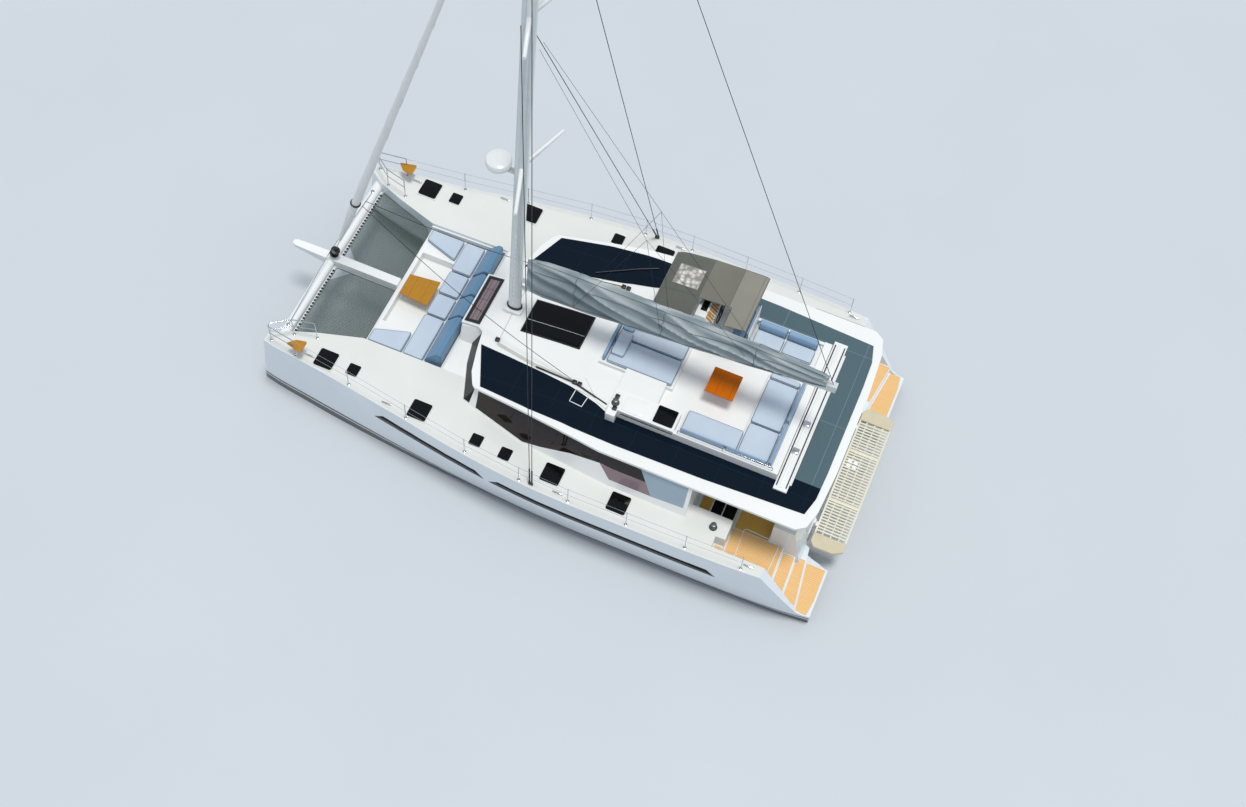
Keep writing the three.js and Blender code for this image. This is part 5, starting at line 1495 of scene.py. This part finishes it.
def plan_foot(plan):
    """The level that a planned cushion stands on."""
    kind, outline, (low, high) = plan[:3]
    return (DRAWN_AXES[kind] @ Vector((min(p[0] for p in outline), min(p[1] for p in outline), low))).z


starts = list(first_point.values()) + [len(cushion_mesh.vertices)]
for (name, plan), start, end in zip(plans.items(), starts, starts[1:]):
    bm = bmesh.new()
    bm.from_mesh(cushion_mesh)
    bm.verts.ensure_lookup_table()
    others = bm.verts[:start] + bm.verts[end:]
    bmesh.ops.delete(bm, geom=others, context="VERTS")
    for _ in range(SMOOTHINGS):
        bmesh.ops.smooth_vert(bm, verts=bm.verts, factor=0.5, use_axis_x=True, use_axis_y=True,
                              use_axis_z=True)
    foot = plan_foot(plan) + 0.0005
    for vertex in bm.verts:
        vertex.co.z = max(vertex.co.z, foot)
    finish, node = plan[-2:]
    piece = finish_piece(bm, name, finish, BODY_OF[node], 60)
    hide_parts(node)
print(len(plans), "cushions made")

# %% [markdown]
# Piping is the cord sewn into the cover's edge. It follows each cushion's rim, so its path is
# the plan's outline with rounded corners, and every point is laid onto the nearest cloth.

# %% Piping round the cushions
PIPING_RADIUS = 0.0065


def laid_on(skin, path):
    """The path's points moved onto the nearest cloth."""
    return [skin.find_nearest(point)[0] for point in path]


def ring_path(corners, radius=0.05, step=0.08):
    """A closed path round these corners with rounded bends and even steps."""
    ring = bend(corners[-1:] + corners + corners[:1], radius)[1:-1]
    path = []
    for a, b in zip(ring, ring[1:] + ring[:1]):
        count = max(1, int((b - a).length / step))
        path += [a.lerp(b, k / count) for k in range(count)]
    return path


def piping(name):
    """The seams of one cushion: round its top and foot, or round its front."""
    skin_mesh = bmesh.new()
    skin_mesh.from_mesh(made[name].data)
    skin = BVHTree.FromBMesh(skin_mesh)
    skin_mesh.free()
    kind, outline, (low, high) = plans[name][:3]
    levels = (high - 0.018, low + 0.02) if kind == "flat" else (low + 0.012, high - 0.012)
    rim = drawn_in(outline, 0.004)
    rings = [[DRAWN_AXES[kind] @ Vector((u, v, level)) for u, v in rim] for level in levels]
    return [laid_on(skin, ring_path(ring)) for ring in rings]


seams = [path for name in plans for path in piping(name)]
tube("cushion_piping", seams, PIPING_RADIUS, piping_cloth, closed=True, sides=1)
print(len(seams), "seams piped")

# %% [markdown]
# The helm seat's cushions sit on a moulded pedestal, which is a bevelled block of gelcoat, and
# lean on a thin shell of the same.

# %% Helm seat pedestal
PEDESTAL_TOP, SHELL_FOOT, SHELL_TOP, SHELL_THICK = 3.548, 3.30, 4.06, 0.012
low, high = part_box("helm_seat")
block = [((low[0] + 0.10, low[1], low[2]), (high[0], high[1], PEDESTAL_TOP))]
pedestal = block_piece("helm_seat_pedestal", block, 0.03, gelcoat, segments=3)
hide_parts("helm_seat")
back = [((low[0], low[1] + 0.02, SHELL_FOOT), (low[0] + SHELL_THICK, high[1] - 0.02, SHELL_TOP))]
shell = block_piece("helm_seat_shell", back, 0.005, gelcoat)
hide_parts("helm_seat")
print("helm seat made")

# %% [markdown]
# Teak is laid on every level of the stern: the aft deck with its passage to the cockpit, the
# treads and the bathing step. Each panel is a thin plate with rounded corners, a little smaller
# than its tread, so that a white edge of gelcoat stays round it. On the cockpit floor lie a strip
# of teak and two black sheets, which are painted shade for the floor in the shade under the deck.

# %% Teak at the stern
TEAK_THICK = 0.006
# Level, finish and outline on the port side
STERN_TEAK = [
    (1.68, deck_teak, [(-4.79, 3.44), (-4.99, 3.44), (-4.99, 3.67), (-4.79, 3.67)]),
    # The passage lies in the shade under the roof, so its teak carries painted shade
    (1.26, teak_painted_shade, [(-5.03, 1.99), (-5.90, 1.99), (-5.90, 2.61), (-5.03, 2.61)]),
    (1.26, deck_teak, [(-5.03, 2.63), (-6.30, 2.63), (-6.32, 3.67), (-5.03, 3.67)]),
    (0.99, deck_teak, [(-6.355, 2.63), (-6.635, 2.63), (-6.67, 3.67), (-6.375, 3.67)]),
    (0.72, deck_teak, [(-6.685, 2.46), (-6.90, 2.46), (-7.055, 3.67), (-6.725, 3.67)]),
    (0.45, deck_teak, [(-6.955, 2.38), (-7.44, 2.38), (-7.45, 3.30), (-7.40, 3.69), (-7.12, 3.69)]),
]
# The seam round the hatch in the aft deck, with its level and bend
HATCH_RING = [(-5.26, 2.53), (-6.20, 2.57), (-6.17, 3.46), (-5.31, 3.43)]
HATCH_LEVEL, HATCH_BEND = 1.2665, 0.10
# The cockpit floor's level and span, and where a teak strip and two black sheets of painted shade lie on it
COCKPIT_FLOOR_LEVEL, FLOOR_SHEETS_Y = 1.15, (1.3, 2.80)
FLOOR_SHEETS_X = [(-4.03, -4.30), (-4.33, -4.60), (-4.63, -4.92)]


def plate_piece(name, outlines, thick, finish, corner=0.03, edge=0.0):
    """Plates on given levels as one piece: each outline comes with its level."""
    whole = bmesh.new()
    for level, outline in outlines:
        single = bmesh.new()
        add_plate(single, outline, level + 0.0005, level + thick, corner, edge)
        add_whole(whole, single)
    finish_piece(whole, name, finish)


for side, sign in (("port", 1), ("starboard", -1)):
    for finish, label in ((deck_teak, "laid"), (teak_painted_shade, "painted_shade")):
        outlines = [(level, [(x, sign * y) for x, y in outline])
                    for level, wood, outline in STERN_TEAK if wood is finish]
        plate_piece(f"stern_teak_{label}_{side}", outlines, TEAK_THICK, finish, 0.02)
    ring = [Vector((x, sign * y, HATCH_LEVEL)) for x, y in HATCH_RING]
    path = bend(ring[-1:] + ring + ring[:1], HATCH_BEND)[1:-1]
    tube(f"stern_hatch_edge_{side}", [path], 0.011, painted_alloy, closed=True, sides=1)
floor_sheets = [(COCKPIT_FLOOR_LEVEL, oblong(a, b, *FLOOR_SHEETS_Y)) for a, b in FLOOR_SHEETS_X]
# Painted shade: two black sheets where the cockpit floor lies dark in the shade under the deck
plate_piece("cockpit_floor_painted_shade", floor_sheets[1:], TEAK_THICK, black_acrylic, 0.01)
plate_piece("cockpit_floor_teak", floor_sheets[:1], TEAK_THICK, teak_painted_shade, 0.01)
print("stern laid with teak")

# %% [markdown]
# Winches are turned drums of grey alloy on a black skirt, with a narrow waist that grips the
# rope and a crown. Cleats are a bar on two feet. Clutches and blocks are small black plastic
# boxes. Each kind is built once and set down by a table of places.

# %% Winches, cleats and clutches
WINCH = [(0.0, 0.0), (0.085, 0.0), (0.085, 0.02), (0.062, 0.035), (0.055, 0.075), (0.062, 0.105),
         (0.070, 0.115), (0.070, 0.135), (0.045, 0.145), (0.020, 0.145), (0.0, 0.145)]
SKIRT = [(0.0, 0.0), (0.10, 0.0), (0.10, 0.022), (0.0, 0.022)]
WINCHES = [(-4.62, 3.21, 2.05), (-4.62, -3.21, 2.05), (-1.42, 1.80, 3.40), (-1.42, -2.06, 3.104),
           (-2.05, -2.08, 3.104)]
CLEATS = [(6.25, 2.98, 2.0), (-0.9, 3.93, 2.05), (-5.75, 3.83, 2.05), (3.9, 3.42, 2.03)]
CLUTCHES = [(-0.25, 1.52, 3.095), (-0.38, 1.52, 3.095), (-0.25, -1.52, 3.095), (-0.38, -1.52, 3.095),
            (2.02, 1.04, 2.80), (2.02, -1.04, 2.80), (-1.40, 1.62, 3.40), (-1.46, 1.95, 3.40)]
CLEAT_HALF, CLEAT_FOOT = 0.13, 0.045
skirts, drums, bars = bmesh.new(), bmesh.new(), bmesh.new()
for x, y, z in WINCHES:
    add_turned(skirts, SKIRT, (x, y, z), steps=20)
    add_turned(drums, WINCH, (x, y, z + 0.02), steps=20)
for x, y, z in CLEATS:
    for at in (y, -y):
        add_block(bars, (x - CLEAT_HALF, at - 0.012, z + 0.045), (x + CLEAT_HALF, at + 0.012, z + 0.065), 0.006)
        for foot in (x - CLEAT_FOOT, x + CLEAT_FOOT):
            add_block(bars, (foot - 0.015, at - 0.014, z - 0.004), (foot + 0.015, at + 0.014, z + 0.05),
                      0.004, 1)
boxes = [((x - 0.055, y - 0.05, z - 0.03), (x + 0.055, y + 0.05, z + 0.06)) for x, y, z in CLUTCHES]
finish_piece(skirts, "winch_skirts", black_plastic)
finish_piece(drums, "winch_drums", winch_alloy)
finish_piece(bars, "deck_cleats", stainless)
block_piece("rope_clutches", boxes, 0.012, black_plastic)
print(len(WINCHES), "winches,", 2 * len(CLEATS), "cleats")

# %% [markdown]
# The roof slopes up from the bow to the flybridge, so anything laid on it needs the roof's
# height. It comes from the same few points as the CAD roof: a table of x and z. Edges of the
# skylight, the front window and a small hatch are black or painted strips laid on the roof.

# %% Skylight, front window and hatch on the coachroof
ROOF_LINE = [(3.14, 2.56), (2.68, 2.64), (2.30, 2.73), (1.50, 2.86), (0.60, 2.99), (-0.40, 3.09), (-6.90, 3.09)]


def roof_z(x):
    """The roof's height at x."""
    for (x0, z0), (x1, z1) in zip(ROOF_LINE, ROOF_LINE[1:]):
        if x >= x1:
            return z0 + (z1 - z0) * (x0 - x) / (x0 - x1)
    return ROOF_LINE[-1][1]


def on_roof(points, lift, step=0.12):
    """A path over the roof through these plan points."""
    return [Vector((x, y, roof_z(x) + lift)) for x, y in plan_path(points, step)]


def ring_on_roof(ring, lift):
    """A closed path over the roof round these plan points."""
    return on_roof(ring + ring[:1], lift)[:-1]


SKYLIGHT_RING = oblong(0.05, 1.60, -0.41, 0.57)
SKYLIGHT_JOINT = [(0.07, 0.20), (1.58, 0.20)]
WINDOW_RING, WINDOW_MIDDLE_X = oblong(2.71, 3.02, -0.68, 0.68), 2.86
WINDOW_BARS = [[(x, -0.66), (x, 0.66)] for x in (2.80, 2.92)]
WINDOW_BARS += [[(2.73, y), (3.00, y)] for y in (-0.34, 0.0, 0.34)]
# The window's frame: outwards and inwards of the ring, height over the roof, thickness
FRAME_OUT, FRAME_IN, FRAME_LIFT, FRAME_THICK = 0.055, -0.03, 0.022, 0.008
PANEL_HATCH = [(-0.36, 1.67), (-0.71, 1.71), (-0.67, 2.07), (-0.34, 2.04)]
tube("skylight_edge", [ring_on_roof(SKYLIGHT_RING, 0.014)], 0.014, black_plastic, closed=True,
     sides=1)
tube("skylight_joint", [on_roof(SKYLIGHT_JOINT, 0.016)], 0.006, painted_alloy, sides=1)
bars = [on_roof(bar, 0.014) for bar in WINDOW_BARS]
tube("front_window_bars", bars, 0.006, black_plastic, sides=1)
bm = bmesh.new()
loops = []
for grow in (FRAME_OUT, FRAME_IN):
    ring = [(x + (grow if x > WINDOW_MIDDLE_X else -grow), y + (grow if y > 0 else -grow))
            for x, y in WINDOW_RING]
    corners = [bm.verts.new(point) for point in ring_on_roof(ring, FRAME_LIFT)]
    loops += [bm.edges.new(pair) for pair in zip(corners, corners[1:] + corners[:1])]
bmesh.ops.bridge_loops(bm, edges=loops)
bmesh.ops.recalc_face_normals(bm, faces=bm.faces)
bmesh.ops.solidify(bm, geom=bm.faces[:], thickness=FRAME_THICK)
finish_piece(bm, "front_window_frame", black_plastic)
tube("panel_hatch_edge", [ring_on_roof(PANEL_HATCH, 0.016)], 0.012, painted_alloy, closed=True,
     sides=1)
print("skylight, window and hatch edged")

# %% [markdown]
# Control lines run from the mast's foot out and aft to the clutches, three on each side. The
# mast stands on a painted plate in a black collar, and small fittings go up its port side. The
# collar is turned round and then squeezed to the mast's oval.

# %% Control lines and mast fittings
# One line's plan on the port side, and how far out each of the three lies
LINE_PLAN, LINES_OUT = [(2.02, 0.16), (1.98, 1.10), (0.85, 1.37), (-0.20, 1.48)], (0.0, 0.035, 0.07)
MAST_FOOT = oblong(1.80, 2.28, -0.20, 0.20)
FOOT_LOW, FOOT_HIGH = 2.86, 2.885
COLLAR = [(0.0, 0.0), (0.205, 0.0), (0.205, 0.05), (0.19, 0.06), (0.0, 0.06)]
COLLAR_AT, COLLAR_OVAL = (2.038, 0, 2.886), (1.0, 0.66, 1.0, 1.0)
# The mast's rake, its middle at its foot, and the heights of the fittings in decimetres
MAST_RAKE, MAST_FOOT_X, MAST_FOOT_Z, FITTINGS_DM = 0.0314, 2.04, 2.87, range(31, 60, 2)
FITTING_HALF, FITTING_Y, FITTING_TALL = 0.02, (0.100, 0.114), 0.14
runs = [on_roof([(x, sign * (y + out)) for x, y in LINE_PLAN], 0.022) for sign in (1, -1) for out in LINES_OUT]
tube("control_lines", runs, 0.007, pale_rope, corner=0.08, sides=1)
bm = bmesh.new()
add_plate(bm, MAST_FOOT, FOOT_LOW, FOOT_HIGH, 0.10, 0.006)
finish_piece(bm, "mast_foot_plate", painted_alloy)
bm = bmesh.new()
add_turned(bm, COLLAR, (0, 0, 0), steps=28)
bmesh.ops.transform(bm, matrix=Matrix.Translation(COLLAR_AT) @ Matrix.Diagonal(COLLAR_OVAL), verts=bm.verts)
finish_piece(bm, "mast_collar", black_plastic)
fittings = []
for z in FITTINGS_DM:
    at = MAST_FOOT_X - MAST_RAKE * (z / 10 - MAST_FOOT_Z)
    fittings.append(((at - FITTING_HALF, FITTING_Y[0], z / 10),
                     (at + FITTING_HALF, FITTING_Y[1], z / 10 + FITTING_TALL)))
block_piece("mast_fittings", fittings, 0.004, painted_alloy, segments=1)
print(len(runs), "control lines led aft")

# %% [markdown]
# Details of the flybridge: lids on the port locker with a rail beside them, a rail behind the
# lounge's backrest, and the traveller's two tracks with its cars.

# %% Locker, rails and traveller
LOCKER_TOP = 3.42
LOCKER_LID, GRIDDLE = oblong(-1.61, -2.17, 1.48, 1.92), oblong(-2.40, -2.90, 1.42, 1.90)
LOCKER_RAIL = [(-1.62, 2.0, 3.35), (-2.95, 2.0, 3.35)]
BACK_Y, BACK_FOOT, BACK_TOP = 1.925, 3.36, 3.52
BACK_RAIL = [(-3.06, BACK_Y, BACK_FOOT), (-3.06, BACK_Y, BACK_TOP),
             (-5.45, BACK_Y, BACK_TOP), (-5.45, BACK_Y, BACK_FOOT)]
BACK_POST = [(-4.2, BACK_Y, BACK_FOOT), (-4.2, BACK_Y, BACK_TOP)]
BEAM_TOP, TRACKS_X, TRACK_HALF_Y = 3.16, (-5.66, -5.90), 2.12
CARS_Y, CAR_FOOT, CAR_TOP = (-0.95, 0.30, 1.10), 3.191, 3.235
plate_piece("locker_lid", [(LOCKER_TOP, LOCKER_LID)], 0.02, gelcoat, 0.06, 0.006)
plate_piece("locker_griddle", [(LOCKER_TOP, GRIDDLE)], 0.018, black_acrylic, 0.03, 0.005)
tube("locker_rail", [LOCKER_RAIL], 0.014, black_plastic, sides=2)
tube("port_back_rail", [BACK_RAIL, BACK_POST], 0.011, stainless, corner=0.06, sides=2)
tracks = [((x - 0.014, -TRACK_HALF_Y, BEAM_TOP), (x + 0.014, TRACK_HALF_Y, BEAM_TOP + 0.02)) for x in TRACKS_X]
block_piece("traveller_tracks", tracks, 0.004, black_plastic, segments=1)
cars = [((-5.85, y - 0.07, CAR_FOOT), (-5.69, y + 0.07, CAR_TOP)) for y in CARS_Y]
block_piece("traveller_cars", cars, 0.012, stainless)
print("locker, rails and traveller made")

# %% [markdown]
# The helm console has a dark screen on top. On its sloping face lie short slats of varnished
# wood side by side. They are laid out flat round the origin and then tipped onto the slope.

# %% Console screen and trim
SCREEN = ((-2.54, -1.70, 4.081), (-2.38, -1.08, 4.10))
SLATS, SLATS_FROM_Y, SLATS_PITCH = 11, -1.80, 0.085
SLAT_LONG_HALF, SLAT_WIDE_HALF, SLAT_THICK = 0.11, 0.028, 0.012
FACE_MIDDLE, FACE_SLOPE = (-2.662, 0, 3.994), math.radians(-42)
block_piece("console_screen", [SCREEN], 0.005, black_acrylic)
bm = bmesh.new()
for number in range(SLATS):
    y = SLATS_FROM_Y + SLATS_PITCH * number
    add_block(bm, (-SLAT_LONG_HALF, y - SLAT_WIDE_HALF, 0.0),
              (SLAT_LONG_HALF, y + SLAT_WIDE_HALF, SLAT_THICK), 0.004, 1)
slope = Matrix.Translation(FACE_MIDDLE) @ Matrix.Rotation(FACE_SLOPE, 4, "Y")
bmesh.ops.transform(bm, matrix=slope, verts=bm.verts)
finish_piece(bm, "console_trim", dark_varnish)
print(SLATS, "slats on the console")

# %% [markdown]
# The last lines of the rig: both sheets of the furled sail lead from its clew, about three
# metres up the roll, down and aft to the clutches on the coachroof, and their thicker tails lie
# on the roof. A bridle of wire runs from both ends of the crossbeam up to its middle.

# %% Sheets and bridle
CLEW = Vector((6.15, 0.0, 4.79))
# How far aft and out of the clew a sheet starts, where it ends on the port side, its sag and steps
SHEET_START, SHEET_END, SHEET_SAG, SHEET_STEPS = (-0.10, 0.08, 0), (-0.20, 1.50, 3.14), 0.35, 24
ROOF_FRONT_X = 3.1
BEAM_X, BRIDLE_END, BRIDLE_TOP, PAD_EYE_Y, PAD_EYE_Z = 7.24, (2.25, 1.845), 2.10, 2.30, 1.838
PAD_EYE = [(0.0, 0.0), (0.05, 0.0), (0.05, 0.02), (0.025, 0.03), (0.0, 0.03)]
TAILS = [[(0.80, 1.45), (-0.22, 1.53), (-1.20, 1.77)], [(0.58, -1.67), (-0.84, -2.40)]]
TAIL_LIFT, TAIL_RADIUS = 0.035, 0.020
sheets = []
for sign in (1, -1):
    mirrored = Matrix.Diagonal((1, sign, 1))
    start, end = CLEW + mirrored @ Vector(SHEET_START), mirrored @ Vector(SHEET_END)
    sags = [-SHEET_SAG * math.sin(math.pi * k / SHEET_STEPS) for k in range(SHEET_STEPS + 1)]
    sheets.append([start.lerp(end, k / SHEET_STEPS) + Vector((0, 0, sag)) for k, sag in enumerate(sags)])
lowest = min(point.z - roof_z(point.x) for path in sheets for point in path if point.x < ROOF_FRONT_X)
tube("headsail_sheets", sheets, 0.008, dark_rope, sides=1)
bridle = [[(BEAM_X, sign * BRIDLE_END[0], BRIDLE_END[1]), (BEAM_X, 0.0, BRIDLE_TOP)] for sign in (1, -1)]
tube("beam_bridle", bridle, 0.010, stainless, sides=2)
bm = bmesh.new()
for y in (-PAD_EYE_Y, PAD_EYE_Y):
    add_turned(bm, PAD_EYE, (BEAM_X, y, PAD_EYE_Z), steps=16)
finish_piece(bm, "beam_pad_eyes", stainless)
tails = [on_roof(tail, TAIL_LIFT) for tail in TAILS]
tube("sheet_tails", tails, TAIL_RADIUS, black_plastic, sides=2)
print("sheets clear the roof by", round(lowest, 3))

# %% [markdown]
# A pale plain floor at the waterline carries the boat's shadow and stands in for the water.

# %% Floor
FLOOR_HALF = 90.0
floor_mesh = bpy.data.meshes.new("floor")
bm = bmesh.new()
bmesh.ops.create_grid(bm, x_segments=1, y_segments=1, size=FLOOR_HALF)
bm.to_mesh(floor_mesh)
bm.free()
floor = bpy.data.objects.new("floor", floor_mesh)
bpy.context.scene.collection.objects.link(floor)
floor_finish = patina("studio_floor_pale", "C9CED2", "C2C8CD", 6.0, 1.0, 0.0005, 0.6)
floor_mesh.materials.append(floor_finish)
